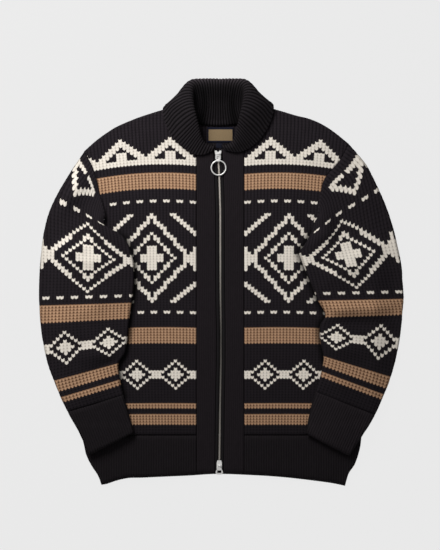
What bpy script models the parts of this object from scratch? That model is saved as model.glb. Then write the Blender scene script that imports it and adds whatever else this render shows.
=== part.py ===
"""A zipped shawl-collar knitted cardigan, laid flat on its back with the sleeves folded down.

Lengths are millimetres until a mesh is made. X runs across the garment from the zip line, Y runs
up towards the collar and Z rises from the surface that the back panel lies on. Left and right
are the wearer's, so the wearer's right front has negative X.
"""
import math

import bpy
from mathutils import Matrix, Vector

MM = 0.001

# Cloth
KNIT = 4.0            # thickness of the knitted wall
SEAM = 0.3            # gap kept between sewn pieces
EDGE_ROUND = 1.1      # how far a cut edge rounds over
LOFT = 3.0            # how far the fronts stand clear of the back in the middle
LOFT_RUN = 60.0       # distance from an edge over which that loft builds up
RIB_PITCH = 6.4
RIB_HEIGHT = 0.9

# Fineness of the walls: rows and columns of each piece
PANEL_ROWS = 15
SHOULDER_COLUMNS = 6
NECK_COLUMNS = 5
HEM_ROWS = 4
BACK_HEM_COLUMNS = 23
BAND_ROWS = 16
BAND_COLUMNS = 4
SLEEVE_RINGS = 18
SLEEVE_ACROSS = 10
CUFF_RINGS = 5
CUFF_ACROSS = 25
COLLAR_ACROSS = 8

# Levels
BACK_TOP = KNIT
FRONT_REST = BACK_TOP + SEAM
HIDDEN_STEPS = 60     # points along the body's edge under a sleeve
SLEEVE_CLEAR = 1.4    # air between a sleeve and the front that it lies on
DRAPE_FLAT = 2.0      # a sleeve stays level this far past the body's edge
DRAPE_RUN = 45.0      # distance over which it then drops to the floor

# Body, from the hem seam up
HEM_SEAM_Y = -282.0
BAND_EDGE = {-1: -40.3, 1: 47.8}   # outer edge of each front band
BAND_TOP_Y = 251.5
ZIP_TOP_Y = 243.5
ZIP_END_Y = -351.5
ZIP_HALF = 8.4        # half width between the bands
NECK_POINT = (90.0, 322.0)
SHOULDER_DROP = 0.36  # fall of the shoulder seam for each millimetre away from the neck
SHOULDER_LOFT = 18.0  # the loft starts this far beyond the shoulder seam
BAND_RISE = 7.5       # each band's top edge rises this much away from the zip
BAND_END = 1.5        # and its end lies this far below the zip's
HEM_MIDDLE = (0.0, -353.0)

# Middle of the zip, from hem to neck: it bows towards the wearer's left
ZIP_LINE = [
    # across, up
    (1.5, -360.0), (2.5, -290.0), (3.4, -220.0), (4.8, -150.0), (5.0, -90.0),
    (3.9, -20.0), (3.7, 60.0), (3.6, 130.0), (1.9, 190.0), (-1.2, 250.0),
]

# Outline of the body from hem corner to shoulder tip: y of the wearer's right, x, y left, x
BODY_EDGE = [
    # right y, right x, left y, left x
    (-373.0, -216.0, -375.0, 234.0),
    (-357.0, -222.0, -366.0, 236.5),
    (-342.0, -232.0, -352.0, 241.0),
    (-321.0, -243.0, -336.0, 252.0),
    (-300.0, -248.0, -308.0, 261.0),
    (-282.0, -252.0, -282.0, 264.5),
    (-237.0, -264.0, -228.0, 273.0),
    (-163.0, -275.0, -163.0, 278.0),
    (-70.0, -279.0, -70.0, 280.0),
    (37.0, -277.0, 33.0, 277.0),
    (48.0, -256.0, 44.0, 236.0),
    (67.0, -232.0, 61.0, 210.0),
    (92.0, -216.0, 85.0, 191.0),
    (118.0, -210.0, 111.0, 184.5),
    (136.0, -213.0, 133.0, 185.5),
    (165.0, -220.0, 165.0, 190.0),
    (192.0, -226.0, 192.0, 198.0),
    (215.0, -234.0, 226.0, 226.0),
    (241.0, -248.0, 255.0, 241.0),
]
SIDE_ROWS = 6         # first rows of the outline lie in the rib
ARMHOLE_ROW = 13      # the visible armhole starts at this row
ARMHOLE_STEPS = 12
SHOULDER_RIGHT = [(-248.0, 241.0), (-228.0, 259.0), (-208.0, 274.0), (-186.0, 287.5),
                  (-152.0, 302.0), (-127.0, 310.5), (-90.0, 322.0)]
SHOULDER_LEFT = [(241.0, 255.0), (211.0, 279.0), (188.0, 293.0), (166.0, 302.0),
                 (143.0, 307.5), (120.0, 314.5), (90.0, 323.0)]
FRONT_NECK = [(90.0, 322.0), (84.0, 300.0), (77.0, 283.0), (66.0, 268.0), (54.0, 257.0)]
BACK_NECK = [(90.0, 322.0), (80.0, 306.0), (62.0, 296.0), (36.0, 291.0), (0.0, 290.0)]
HEM_RIGHT = [(-216.0, -373.0), (-206.0, -371.5), (-187.0, -365.0), (-165.0, -360.5),
             (-142.0, -360.0), (-98.0, -358.0), (-54.0, -356.0), (BAND_EDGE[-1], -355.0)]
HEM_LEFT = [(234.0, -375.0), (213.0, -370.5), (191.0, -367.3), (153.0, -362.5),
            (114.0, -358.5), (70.0, -355.6), (BAND_EDGE[1], -354.2)]
BACK_HEM_DROP = 1.5   # the back hem shows this far below the front hem

# Sleeves: each row is one ruling across the sleeve, from its outer edge to its inner edge
SLEEVE_RIGHT = [
    # outer x, outer y, inner x, inner y
    (-248.6, 240.0, -213.5, 117.0),
    (-284.0, 186.0, -207.0, 98.0),
    (-309.0, 138.0, -182.0, 90.0),
    (-321.0, 97.0, -166.0, 69.0),
    (-327.0, 54.0, -157.0, 40.0),
    (-330.0, 15.0, -155.0, 12.0),
    (-331.0, -17.0, -156.0, -13.0),
    (-330.0, -52.0, -161.0, -46.0),
    (-327.0, -88.0, -165.0, -77.0),
    (-321.0, -124.0, -168.0, -106.0),
    (-313.0, -156.0, -172.0, -130.0),
    (-302.0, -184.0, -184.0, -151.0),
    (-290.0, -213.0, -181.0, -180.0),
    (-276.0, -241.0, -174.0, -211.0),
    (-261.0, -267.0, -166.0, -240.0),
    (-249.0, -291.0, -160.0, -260.0),
    (-237.0, -319.0, -155.0, -277.0),
]
SLEEVE_LEFT = [
    # outer x, outer y, inner x, inner y
    (241.8, 254.0, 188.0, 110.0),
    (272.0, 218.0, 180.0, 113.0),
    (291.0, 182.0, 172.0, 92.0),
    (308.8, 142.0, 158.0, 67.0),
    (321.8, 103.0, 149.0, 56.0),
    (331.0, 65.0, 153.0, 41.0),
    (338.0, 31.0, 162.0, 17.0),
    (340.0, 2.0, 171.0, -4.0),
    (342.0, -28.0, 182.0, -31.0),
    (340.0, -55.0, 197.0, -60.0),
    (338.0, -80.0, 188.0, -78.0),
    (334.0, -110.0, 187.0, -97.0),
    (326.0, -148.0, 190.0, -118.0),
    (315.0, -184.0, 194.0, -143.0),
    (302.0, -215.0, 188.0, -172.0),
    (287.0, -247.0, 178.0, -205.0),
    (267.0, -279.0, 169.0, -239.0),
    (240.0, -320.0, 161.0, -279.0),
]
CUFF_ROW_RIGHT = 12.9  # ruling at which the ribbed cuff is sewn on
CUFF_ROW_LEFT = 14.9
ARMHOLE_BLEND = 4.0    # rulings over which the armhole curve straightens
AIR_EDGE = 0.9         # air inside a sleeve at its edges and in its middle
AIR_MIDDLE = 3.2
AIR_LEAST = 0.72       # where a trough presses the sleeve flat
TURN_INSET = 1.2       # the turn at each edge takes up this much more than the wall
ARMHOLE_CLEAR = 4 * SEAM
CUFF_GAP = 0.02        # part of a ruling left open between sleeve and cuff
CUFF_RIB_HEIGHT = 0.7

# Folds: ridges (or troughs) on the upper side of the sleeves
SLEEVE_FOLDS = [
    # start x, start y, end x, end y, half width, height
    (-247.0, 196.0, -285.0, 136.0, 15.0, 6.5),
    (-296.0, 150.0, -250.0, 118.0, 15.0, -2.5),
    (-214.0, 112.0, -184.0, 74.0, 13.0, 6.0),
    (-300.0, 62.0, -205.0, 30.0, 22.0, 3.5),
    (-190.0, -20.0, -260.0, -62.0, 20.0, 3.0),
    (-318.0, -70.0, -240.0, -104.0, 20.0, 3.0),
    (-182.0, -148.0, -236.0, -166.0, 12.0, -2.8),
    (-185.0, -128.0, -250.0, -138.0, 14.0, 4.0),
    (-262.0, -215.0, -205.0, -196.0, 16.0, 2.5),
    (186.0, 130.0, 206.0, 96.0, 13.0, 6.0),
    (206.0, 96.0, 176.0, 74.0, 13.0, 5.0),
    (232.0, 190.0, 290.0, 128.0, 18.0, 4.0),
    (192.0, -50.0, 282.0, -50.0, 14.0, 9.0),
    (282.0, -50.0, 330.0, -44.0, 13.0, 4.0),
    (196.0, -74.0, 300.0, -76.0, 12.0, -2.5),
    (262.0, 40.0, 205.0, 8.0, 22.0, 3.5),
    (200.0, -118.0, 262.0, -128.0, 15.0, 3.5),
    (250.0, -190.0, 205.0, -176.0, 16.0, 2.5),
]

# Collar, half of it, from the middle of the back to the zip: guide lines of its middle surface
COLLAR_BELOW = 1.6    # plain hidden face
COLLAR_ABOVE = 1.2    # visible face between its ribs
COLLAR_RIBS = 72
CORNER_REACH = 4.0    # the wearer's right corner of the fall reaches this much further out
CORNER_ROW = 4.8      # row of the table where that corner is
REACH_SHARE = [0.0, 0.0, 0.0, 0.0, 0.5, 1.0]   # share of that reach that each guide line takes
COLLAR = [
    # seam x, y, z, stand x, y, z, roll x, y, z, crest x, y, z, fall x, y, z, edge x, y, z
    (0, 292, 7.5, 0, 330, 12, 0, 366, 20, 0, 372.3, 14.5, 0, 360, 5.5, 0, 327, 2.2),
    (20, 293, 7.5, 23, 330, 12, 27, 366, 20, 29, 372.3, 15, 29, 359.5, 5.5, 28, 328, 2.2),
    (38, 295, 8, 41, 326, 14, 45, 361, 24, 51, 370, 18, 56, 359.5, 7, 54, 334, 2.4),
    (60, 301, 9, 48, 319, 19, 48, 343, 30, 62.5, 353.5, 26, 74, 345.5, 13, 75, 334, 4.0),
    (80, 311, 9, 56, 312, 21, 45, 323, 33, 62, 332.5, 31, 84, 332, 21, 95, 326.5, 12.5),
    (82, 300.6, 9, 58, 302, 20, 40, 304, 33, 58, 311, 32, 84, 317, 22.5, 101, 315, 14.2),
    (75.6, 285.3, 9.5, 54, 288, 18, 36, 288, 28, 50, 289, 28.5, 74, 289, 21.5, 93, 290, 15.2),
    (64, 269.6, 9.5, 45, 273, 16, 32, 270, 23, 41, 268, 24.5, 60, 266, 20.5, 77, 265, 15.6),
    (46, 256, 9.5, 34, 260, 14, 25, 257, 17.5, 30, 253, 20, 42, 251, 18.5, 53, 246, 15.6),
    (30, 251, 9.5, 22, 254, 12.5, 15, 252, 15.0, 18, 248, 17.6, 25, 245, 17.2, 32, 240, 15.6),
    (13, 250.5, 9.5, 9, 252.5, 11.8, 5.5, 251, 13.6, 6, 248.5, 15.8, 8, 247, 16.2, 10, 244.5, 15.6),
]

# Label and size tab on the inside of the back neck
LABEL = (4.0, 271.5, 48.0, 29.0)
SIZE_TAB = (2.0, 251.8, 12.0, 9.0)
LABEL_THICK = 0.8

# Zip: heights are measured from the bands' lower face
TAPE_THICK = 1.0
TAPE_LOW = 1.6
CHAIN_HALF = 1.9
CHAIN_THICK = 2.6
CHAIN_LOW = 1.2
ZIP_SHORT = 1.0        # tapes and chain end this far below the bands

# Sliders and pulls: plan sizes are from the pin, heights from the floor
SLIDER_LOW = 11.7
SLIDER_HIGH = 13.3
PIN_HIGH = 15.6
PIN_RADIUS = 0.7
POST_IN = 2.2
POST_OUT = 3.4
POST_HALF = 1.3       # half length of a post, along the zip
POST_SINK = 0.5       # a post starts this far inside the slider's body
POST_RISE = 1.1       # and ends this far above the pin's axis
EYE_HALF = 1.8
EYE_RADIUS = 1.75
EYE_BORE = 1.05
PULL_THICK = 1.5
ROUND_SIDES = 16
TOP_PIN_Y = 236.5
TOP_SLIDER = [(-6.2, 5.5), (-5.6, 1.0), (-3.9, -4.0), (-3.9, -9.5), (3.9, -9.5), (3.9, -4.0),
              (5.6, 1.0), (6.2, 5.5), (3.0, 6.0), (0.0, 2.6), (-3.0, 6.0)]
LINK_LONG = 12.8
LINK_TILT = 0.102
LINK_FRAME = [(-1.7, -1.2), (-1.7, -3.0), (-4.9, -3.4), (-4.9, -10.6), (-2.9, -12.0),
              (2.9, -12.0), (4.9, -10.6), (4.9, -3.4), (1.7, -3.0), (1.7, -1.2)]
LINK_SLOT = (-1.9, 1.9, -9.8, -4.6)
FOOT_HALF = 3.0
FOOT_RADIUS = 2.7
FOOT_BORE = 2.05
RING_RADIUS = 13.4    # to the middle of the wire
RING_WIRE = 1.3
RING_TILT = 0.048
RING_STEPS = 28
RING_SIDES = 8
BOTTOM_PIN_Y = -338.0
BOTTOM_SLIDER = [(-4.75, -7.5), (4.75, -7.5), (4.75, 5.0), (3.4, 9.5), (-3.4, 9.5), (-4.75, 5.0)]
BOTTOM_PULL = [(-1.7, -1.2), (-1.7, -3.2), (-3.8, -4.2), (-4.6, -7.5), (-6.6, -11.0), (-6.6, -13.8),
               (-4.4, -16.6), (4.4, -16.6), (6.6, -13.8), (6.6, -11.0), (4.6, -7.5), (3.8, -4.2),
               (1.7, -3.2), (1.7, -1.2)]
BOTTOM_SLOT = (-3.7, 3.7, -14.0, -8.8)
BOTTOM_TILT = 0.15


def smooth(rows, place):
    """Point on the smooth curve through rows; place counts rows from 0."""
    last = len(rows) - 1
    i = min(max(int(math.floor(place)), 0), last - 1)
    t = place - i
    p0 = rows[max(i - 1, 0)]
    p1 = rows[i]
    p2 = rows[i + 1]
    p3 = rows[min(i + 2, last)]
    out = []
    for a, b, c, d in zip(p0, p1, p2, p3):
        out.append(b + 0.5 * t * (c - a + t * (2 * a - 5 * b + 4 * c - d + t * (3 * (b - c) + d - a))))
    return out


def along(points, count):
    """count points evenly spaced by length on the smooth curve through points."""
    fine = [smooth(points, k / 12) for k in range(12 * (len(points) - 1) + 1)]
    run = [0.0]
    for a, b in zip(fine, fine[1:]):
        run.append(run[-1] + math.dist(a, b))
    out = []
    j = 0
    for k in range(count):
        want = run[-1] * k / (count - 1)
        while j < len(run) - 2 and run[j + 1] < want:
            j += 1
        f = (want - run[j]) / (run[j + 1] - run[j])
        out.append([u + (v - u) * f for u, v in zip(fine[j], fine[j + 1])])
    return out


def ease(t):
    """Rises smoothly from 0 to 1."""
    t = min(max(t, 0.0), 1.0)
    return t * t * (3 - 2 * t)


def edge_points(side, first, last):
    """Rows of the body outline on one side, -1 for the wearer's right."""
    column = 0 if side < 0 else 2
    return [(row[column + 1], row[column]) for row in BODY_EDGE[first:last]]


def across_at(points, y):
    """Across position at a height, on a line of points that run upwards."""
    if y <= points[0][1]:
        return points[0][0]
    for (xa, ya), (xb, yb) in zip(points, points[1:]):
        if y <= yb:
            return xa + (xb - xa) * (y - ya) / (yb - ya)
    return points[-1][0]


def edge_x(side, y):
    """Across position of the body's outer edge at a height."""
    return across_at(edge_points(side, 0, len(BODY_EDGE)), y)


def zip_x(y):
    """Middle of the zip at a height."""
    return across_at(ZIP_LINE, y)


def front_low(x, y):
    """Height of a front's lower face: it lies on the back at its edges and lofts between."""
    side = -1 if x < 0 else 1
    in_from_side = abs(edge_x(side, y)) - abs(x)
    below_shoulder = NECK_POINT[1] - SHOULDER_DROP * max(abs(x) - NECK_POINT[0], 0.0) - y
    lift = ease(in_from_side / LOFT_RUN) * ease((below_shoulder + SHOULDER_LOFT) / LOFT_RUN)
    return FRONT_REST + LOFT * lift


def front_top(x, y):
    return front_low(x, y) + KNIT


def hidden_edge(side):
    """The stretch of the body's edge that a sleeve lies across, from the armhole down."""
    return along(edge_points(side, 0, ARMHOLE_ROW + 1), HIDDEN_STEPS)


HIDDEN_EDGE = {-1: hidden_edge(-1), 1: hidden_edge(1)}


def ground(side, x, y):
    """Height that the underside of a sleeve lies at."""
    top_y = HIDDEN_EDGE[side][-1][1]
    if y < top_y and abs(x) < abs(edge_x(side, y)):
        reach = 1.0
    else:
        away = min(math.dist((x, y), p) for p in HIDDEN_EDGE[side])
        reach = ease(1 - max(away - DRAPE_FLAT, 0.0) / DRAPE_RUN)
    body = front_top(x, y) + SLEEVE_CLEAR + (RIB_HEIGHT if y < HEM_SEAM_Y + 20 else 0.0)
    return body * reach


def folds(x, y):
    """Height that the folds add to the upper side of a sleeve."""
    total = 0.0
    for xa, ya, xb, yb, half, high in SLEEVE_FOLDS:
        if xa * x < 0:
            continue
        dx, dy = xb - xa, yb - ya
        t = ((x - xa) * dx + (y - ya) * dy) / (dx * dx + dy * dy)
        t = min(max(t, 0.0), 1.0)
        away = math.dist((x, y), (xa + dx * t, ya + dy * t)) / half
        total += high * math.exp(-away * away) * (0.55 + 0.45 * math.sin(math.pi * t))
    return total


def material(name, colour, roughness, metallic=0.0):
    found = bpy.data.materials.get(name)
    if found:
        return found
    made = bpy.data.materials.new(name)
    made.use_nodes = True
    shader = made.node_tree.nodes["Principled BSDF"]
    shader.inputs["Base Color"].default_value = (*colour, 1.0)
    shader.inputs["Roughness"].default_value = roughness
    shader.inputs["Metallic"].default_value = metallic
    return made


def add_object(name, points, faces, finish, origin=(0.0, 0.0, 0.0)):
    """Make a mesh object from millimetre points, with its origin at a millimetre place."""
    mesh = bpy.data.meshes.new(name)
    mesh.from_pydata([[(p[k] - origin[k]) * MM for k in range(3)] for p in points], [], faces)
    mesh.materials.append(finish)
    mesh.update()
    made = bpy.data.objects.new(name, mesh)
    made.location = [v * MM for v in origin]
    bpy.context.scene.collection.objects.link(made)
    return made


def patch(bottom, top, left, right):
    """Grid of plan points between four edge curves, rows from bottom to top."""
    rows = len(left)
    columns = len(bottom)
    grid = []
    for j in range(rows):
        v = j / (rows - 1)
        line = []
        for i in range(columns):
            u = i / (columns - 1)
            point = []
            for k in range(2):
                ruled = (1 - v) * bottom[i][k] + v * top[i][k] + (1 - u) * left[j][k] + u * right[j][k]
                corner = ((1 - u) * (1 - v) * bottom[0][k] + u * (1 - v) * bottom[-1][k]
                          + (1 - u) * v * top[0][k] + u * v * top[-1][k])
                point.append(ruled - corner)
            line.append(point)
        grid.append(line)
    return grid


def towards(a, b, step):
    """Point a moved a set distance towards b."""
    gap = math.dist(a, b)
    return [p + (q - p) * min(step / gap, 0.45) for p, q in zip(a, b)]


def slab(name, grid, low, high, finish, edge_round=EDGE_ROUND):
    """Closed wall over a grid of plan points, between two height functions, with rounded edges."""
    rows = len(grid)
    columns = len(grid[0])
    inset = [[list(p) for p in line] for line in grid]
    for j in range(rows):
        inset[j][0] = towards(inset[j][0], grid[j][1], edge_round)
        inset[j][-1] = towards(inset[j][-1], grid[j][-2], edge_round)
    for i in range(columns):
        inset[0][i] = towards(inset[0][i], grid[1][i], edge_round)
        inset[-1][i] = towards(inset[-1][i], grid[-2][i], edge_round)
    points = [(p[0], p[1], high(i, j, *p)) for j, line in enumerate(inset) for i, p in enumerate(line)]
    points += [(p[0], p[1], low(i, j, *p)) for j, line in enumerate(inset) for i, p in enumerate(line)]
    under = rows * columns
    loop = ([(0, i) for i in range(columns)] + [(j, columns - 1) for j in range(1, rows)]
            + [(rows - 1, i) for i in range(columns - 2, -1, -1)] + [(j, 0) for j in range(rows - 2, 0, -1)])
    rim = len(points)
    for j, i in loop:
        x, y = grid[j][i]
        points.append((x, y, (low(i, j, x, y) + high(i, j, x, y)) / 2))
    faces = []
    for j in range(rows - 1):
        for i in range(columns - 1):
            a = j * columns + i
            b = a + columns
            faces.append((a, a + 1, b + 1, b))
            faces.append((under + a, under + b, under + b + 1, under + a + 1))
    for k, (j, i) in enumerate(loop):
        n = (k + 1) % len(loop)
        a = j * columns + i
        b = loop[n][0] * columns + loop[n][1]
        faces.append((rim + k, rim + n, b, a))
        faces.append((under + a, under + b, rim + n, rim + k))
    return add_object(name, points, faces, finish)


def make_back(finish):
    """Back panel from hem seam to shoulders and neck."""
    right = along(edge_points(-1, SIDE_ROWS - 1, len(BODY_EDGE)), PANEL_ROWS)
    left = along(edge_points(1, SIDE_ROWS - 1, len(BODY_EDGE)), PANEL_ROWS)
    neck = along([(-x, y) for x, y in BACK_NECK] + [(x, y) for x, y in BACK_NECK[-2::-1]],
                 2 * NECK_COLUMNS - 1)
    top = (along(SHOULDER_RIGHT, SHOULDER_COLUMNS)[:-1] + neck
           + along(SHOULDER_LEFT, SHOULDER_COLUMNS)[::-1][1:])
    count = len(top)
    bottom = [(right[0][0] + (left[0][0] - right[0][0]) * i / (count - 1), HEM_SEAM_Y + SEAM / 2)
              for i in range(count)]
    grid = patch(bottom, top, right, left)
    slab("back_panel", grid, lambda i, j, x, y: 0.0, lambda i, j, x, y: BACK_TOP, finish)


def make_front(side, name, finish):
    """One front from hem seam to shoulder and neck, between its band and its side."""
    outer = along(edge_points(side, SIDE_ROWS - 1, len(BODY_EDGE)), PANEL_ROWS)
    shoulder = along(SHOULDER_RIGHT if side < 0 else SHOULDER_LEFT, SHOULDER_COLUMNS)
    neck = along([(side * x, y) for x, y in FRONT_NECK] + [(BAND_EDGE[side], BAND_TOP_Y)], NECK_COLUMNS)
    top = shoulder[:-1] + neck
    count = len(top)
    inner = [(BAND_EDGE[side], HEM_SEAM_Y + (neck[-1][1] - HEM_SEAM_Y) * j / (PANEL_ROWS - 1))
             for j in range(PANEL_ROWS)]
    bottom = [(outer[0][0] + (inner[0][0] - outer[0][0]) * i / (count - 1), HEM_SEAM_Y)
              for i in range(count)]
    outer[0][1] = HEM_SEAM_Y
    if side < 0:
        grid = patch(bottom, top, outer, inner)
    else:
        grid = patch(bottom[::-1], top[::-1], inner, outer)
    slab(name, grid, lambda i, j, x, y: front_low(x, y), lambda i, j, x, y: front_top(x, y), finish)


def hem_edges(side_points, hem, inner_x, columns, rows):
    """Four edges of a hem rib between the hem seam and the hem line."""
    outer = along(side_points, rows)
    outer[-1][1] = HEM_SEAM_Y - SEAM
    bottom = along(hem, columns)
    top = [(outer[-1][0] + (inner_x - outer[-1][0]) * i / (columns - 1), HEM_SEAM_Y - SEAM)
           for i in range(columns)]
    inner = [(inner_x, bottom[-1][1] + (top[-1][1] - bottom[-1][1]) * j / (rows - 1))
             for j in range(rows)]
    return bottom, top, outer, inner


def make_front_hem(side, name, finish):
    """Ribbed hem under one front: ribs raised on the outer face."""
    hem = HEM_RIGHT if side < 0 else HEM_LEFT
    width = abs(hem[0][0] - BAND_EDGE[side])
    columns = 2 * round(width / RIB_PITCH) + 1
    side_points = edge_points(side, 0, SIDE_ROWS)
    bottom, top, outer, inner = hem_edges(side_points, hem, BAND_EDGE[side], columns, HEM_ROWS)
    if side < 0:
        grid = patch(bottom, top, outer, inner)
    else:
        grid = patch(bottom[::-1], top[::-1], inner, outer)

    def high(i, j, x, y):
        return front_top(x, y) + (RIB_HEIGHT if i % 2 else 0.0)

    slab(name, grid, lambda i, j, x, y: front_low(x, y), high, finish)


def make_back_hem(finish):
    """Ribbed hem under the back, flat underneath where it rests and plain where it is hidden."""
    rows = HEM_ROWS
    right = along(edge_points(-1, 0, SIDE_ROWS), rows)
    left = along(edge_points(1, 0, SIDE_ROWS), rows)
    right[-1][1] = left[-1][1] = HEM_SEAM_Y - SEAM / 2
    bottom = along(HEM_RIGHT[:-1] + [HEM_MIDDLE] + HEM_LEFT[-2::-1], BACK_HEM_COLUMNS)
    bottom = [(x, y - BACK_HEM_DROP) for x, y in bottom]
    right[0] = bottom[0]
    left[0] = bottom[-1]
    top = [(right[-1][0] + (left[-1][0] - right[-1][0]) * i / (BACK_HEM_COLUMNS - 1), HEM_SEAM_Y - SEAM / 2)
           for i in range(BACK_HEM_COLUMNS)]
    grid = patch(bottom, top, right, left)
    slab("hem_rib_back", grid, lambda i, j, x, y: 0.0, lambda i, j, x, y: BACK_TOP, finish)


def make_band(side, name, finish):
    """Front band beside the zip, from hem to neck."""
    rows = BAND_ROWS
    grid = []
    for j in range(rows):
        v = j / (rows - 1)
        line = []
        for i in range(BAND_COLUMNS):
            u = i / (BAND_COLUMNS - 1)
            outer_x = BAND_EDGE[side] - side * SEAM
            top_y = ZIP_TOP_Y + BAND_RISE * (1 - u) ** 1.5
            end_y = ZIP_END_Y - BAND_END
            y = end_y + (top_y - end_y) * v
            x = outer_x + (zip_x(y) + side * ZIP_HALF - outer_x) * u
            line.append((x, y))
        grid.append(line if side < 0 else line[::-1])
    slab(name, grid, lambda i, j, x, y: front_low(x, y), lambda i, j, x, y: front_top(x, y), finish)


def sleeve_row(side, place):
    """Outer and inner plan points of a sleeve's ruling."""
    ox, oy, ix, iy = smooth(SLEEVE_RIGHT if side < 0 else SLEEVE_LEFT, place)
    return Vector((ox, oy)), Vector((ix, iy))


def armhole_bulge(side, s):
    """Plan offset of the visible armhole from the straight line between its ends."""
    points = edge_points(side, ARMHOLE_ROW, len(BODY_EDGE))
    curve = along(points[::-1], ARMHOLE_STEPS + 1)
    x, y = smooth(curve, s * ARMHOLE_STEPS)
    return Vector((x + side * ARMHOLE_CLEAR, y))


def sleeve_ring(side, place, count, thick):
    """Middle surface of a sleeve around one ruling: upper side, inner turn, lower side, outer turn."""
    outer, inner = sleeve_row(side, place)
    run = (inner - outer).normalized()
    keep = max(0.0, 1 - place / ARMHOLE_BLEND) ** 1.5

    def plan(s):
        point = outer.lerp(inner, s)
        bend = armhole_bulge(side, s) - armhole_bulge(side, 0).lerp(armhole_bulge(side, 1), s)
        return point + bend * keep

    def lower(p):
        return thick / 2 + ground(side, p.x, p.y)

    def upper(p, s):
        air = AIR_EDGE + (AIR_MIDDLE - AIR_EDGE) * math.sin(math.pi * s)
        swell = folds(p.x, p.y) * ease(6 * s) * ease(6 * (1 - s))
        return lower(p) + thick + max(air + swell, AIR_LEAST)

    def turn(end, direction, s):
        p = plan(s)
        low, high = lower(p), upper(p, s)
        radius = (high - low) / 2
        made = []
        for step in (1, 2, 3):
            a = math.pi * step / 4
            out = direction * radius * math.sin(a)
            rise = radius * math.cos(a) * (1 if end == "inner" else -1)
            made.append((p.x + out.x, p.y + out.y, (low + high) / 2 + rise))
        return made

    length = (inner - outer).length
    inset = (thick + TURN_INSET) / length
    first, last = inset, 1 - inset
    ring = []
    for k in range(count):
        s = first + (last - first) * k / (count - 1)
        p = plan(s)
        ring.append((p.x, p.y, upper(p, s)))
    ring += turn("inner", run, last)
    for k in range(count):
        s = last + (first - last) * k / (count - 1)
        p = plan(s)
        ring.append((p.x, p.y, lower(p)))
    ring += turn("outer", -run, first)
    return ring


def tube(name, rings, outer_half, inner_half, finish):
    """Closed wall around a tube's middle surface; outer_half(i, j) is the outer face's offset."""
    rows = len(rings)
    count = len(rings[0])
    outside = []
    inside = []
    for j in range(rows):
        for i in range(count):
            here = Vector(rings[j][i])
            around = Vector(rings[j][(i + 1) % count]) - Vector(rings[j][i - 1])
            ahead = Vector(rings[min(j + 1, rows - 1)][i]) - Vector(rings[max(j - 1, 0)][i])
            normal = around.cross(ahead).normalized()
            outside.append(here + normal * outer_half(i, j))
            inside.append(here - normal * inner_half)
    points = [tuple(p) for p in outside + inside]
    under = rows * count
    faces = []
    for i in range(count):
        n = (i + 1) % count
        for j in range(rows - 1):
            a, b = j * count + i, j * count + n
            faces.append((a, b, b + count, a + count))
            faces.append((under + a, under + a + count, under + b + count, under + b))
        last = (rows - 1) * count
        faces.append((i, under + i, under + n, n))
        faces.append((last + i, last + n, under + last + n, under + last + i))
    return add_object(name, points, faces, finish)


def orient(rings):
    """Rings in the order that makes their faces point out."""
    first = Vector(rings[0][0])
    around = Vector(rings[0][1]) - first
    ahead = Vector(rings[1][0]) - first
    if around.cross(ahead).z < 0:
        return [ring[::-1] for ring in rings]
    return rings


def make_sleeve(side, name, finish):
    cuff_row = CUFF_ROW_RIGHT if side < 0 else CUFF_ROW_LEFT
    rings = [sleeve_ring(side, cuff_row * j / (SLEEVE_RINGS - 1), SLEEVE_ACROSS, KNIT)
             for j in range(SLEEVE_RINGS)]
    return tube(name, orient(rings), lambda i, j: KNIT / 2, KNIT / 2, finish)


def make_cuff(side, name, finish):
    """Ribbed cuff that goes on from the sleeve: ribs raised on its outer face."""
    table = SLEEVE_RIGHT if side < 0 else SLEEVE_LEFT
    start = (CUFF_ROW_RIGHT if side < 0 else CUFF_ROW_LEFT) + CUFF_GAP
    count = CUFF_ACROSS
    run = len(table) - 1 - start
    rings = [sleeve_ring(side, start + run * j / (CUFF_RINGS - 1), count, KNIT)
             for j in range(CUFF_RINGS)]
    oriented = orient(rings)
    flat = KNIT / 2
    last = len(rings[0]) - 1

    def outer(i, j):
        at = i if oriented is rings else last - i
        is_lower = count + 2 <= at <= 2 * count + 3
        return flat + (CUFF_RIB_HEIGHT if i % 2 == 0 and not is_lower else 0.0)

    return tube(name, oriented, outer, flat, finish)


def make_collar(finish):
    """Shawl collar: stand, roll and fall in one ribbed band, mirrored about the back's middle."""
    segments = COLLAR_ACROSS
    stations = COLLAR_RIBS * 2 + 1
    half = len(COLLAR) - 1
    grid = []
    for j in range(stations):
        place = 2 * half * j / (stations - 1) - half
        sign = 1 if place > 0 else -1
        row = smooth(COLLAR, abs(place))
        reach = CORNER_REACH * ease(1 - abs(place + CORNER_ROW) / 2)
        guides = [(sign * row[3 * k] - reach * share, row[3 * k + 1], row[3 * k + 2])
                  for k, share in enumerate(REACH_SHARE)]
        grid.append([smooth(guides, 5 * i / (segments - 1)) for i in range(segments)])
    points = []
    for lift in (1, -1):
        for j in range(stations):
            for i in range(segments):
                here = Vector(grid[j][i])
                ahead = Vector(grid[min(j + 1, stations - 1)][i]) - Vector(grid[max(j - 1, 0)][i])
                across = (Vector(grid[j][min(i + 1, segments - 1)])
                          - Vector(grid[j][max(i - 1, 0)]))
                normal = across.cross(ahead).normalized()
                rib = RIB_HEIGHT if j % 2 else 0.0
                points.append(here - normal * (COLLAR_ABOVE + rib if lift > 0 else -COLLAR_BELOW))
    under = stations * segments
    faces = []
    for j in range(stations - 1):
        for i in range(segments - 1):
            a = j * segments + i
            faces.append((a, a + 1, a + segments + 1, a + segments))
            b = under + a
            faces.append((b, b + segments, b + segments + 1, b + 1))
        a, b = j * segments, (j + 1) * segments
        faces.append((a, b, under + b, under + a))
        a, b = a + segments - 1, b + segments - 1
        faces.append((b, a, under + a, under + b))
    for i in range(segments - 1):
        faces.append((i + 1, i, under + i, under + i + 1))
        a = (stations - 1) * segments + i
        faces.append((a, a + 1, under + a + 1, under + a))
    return add_object("collar", points, [face[::-1] for face in faces], finish)


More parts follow.
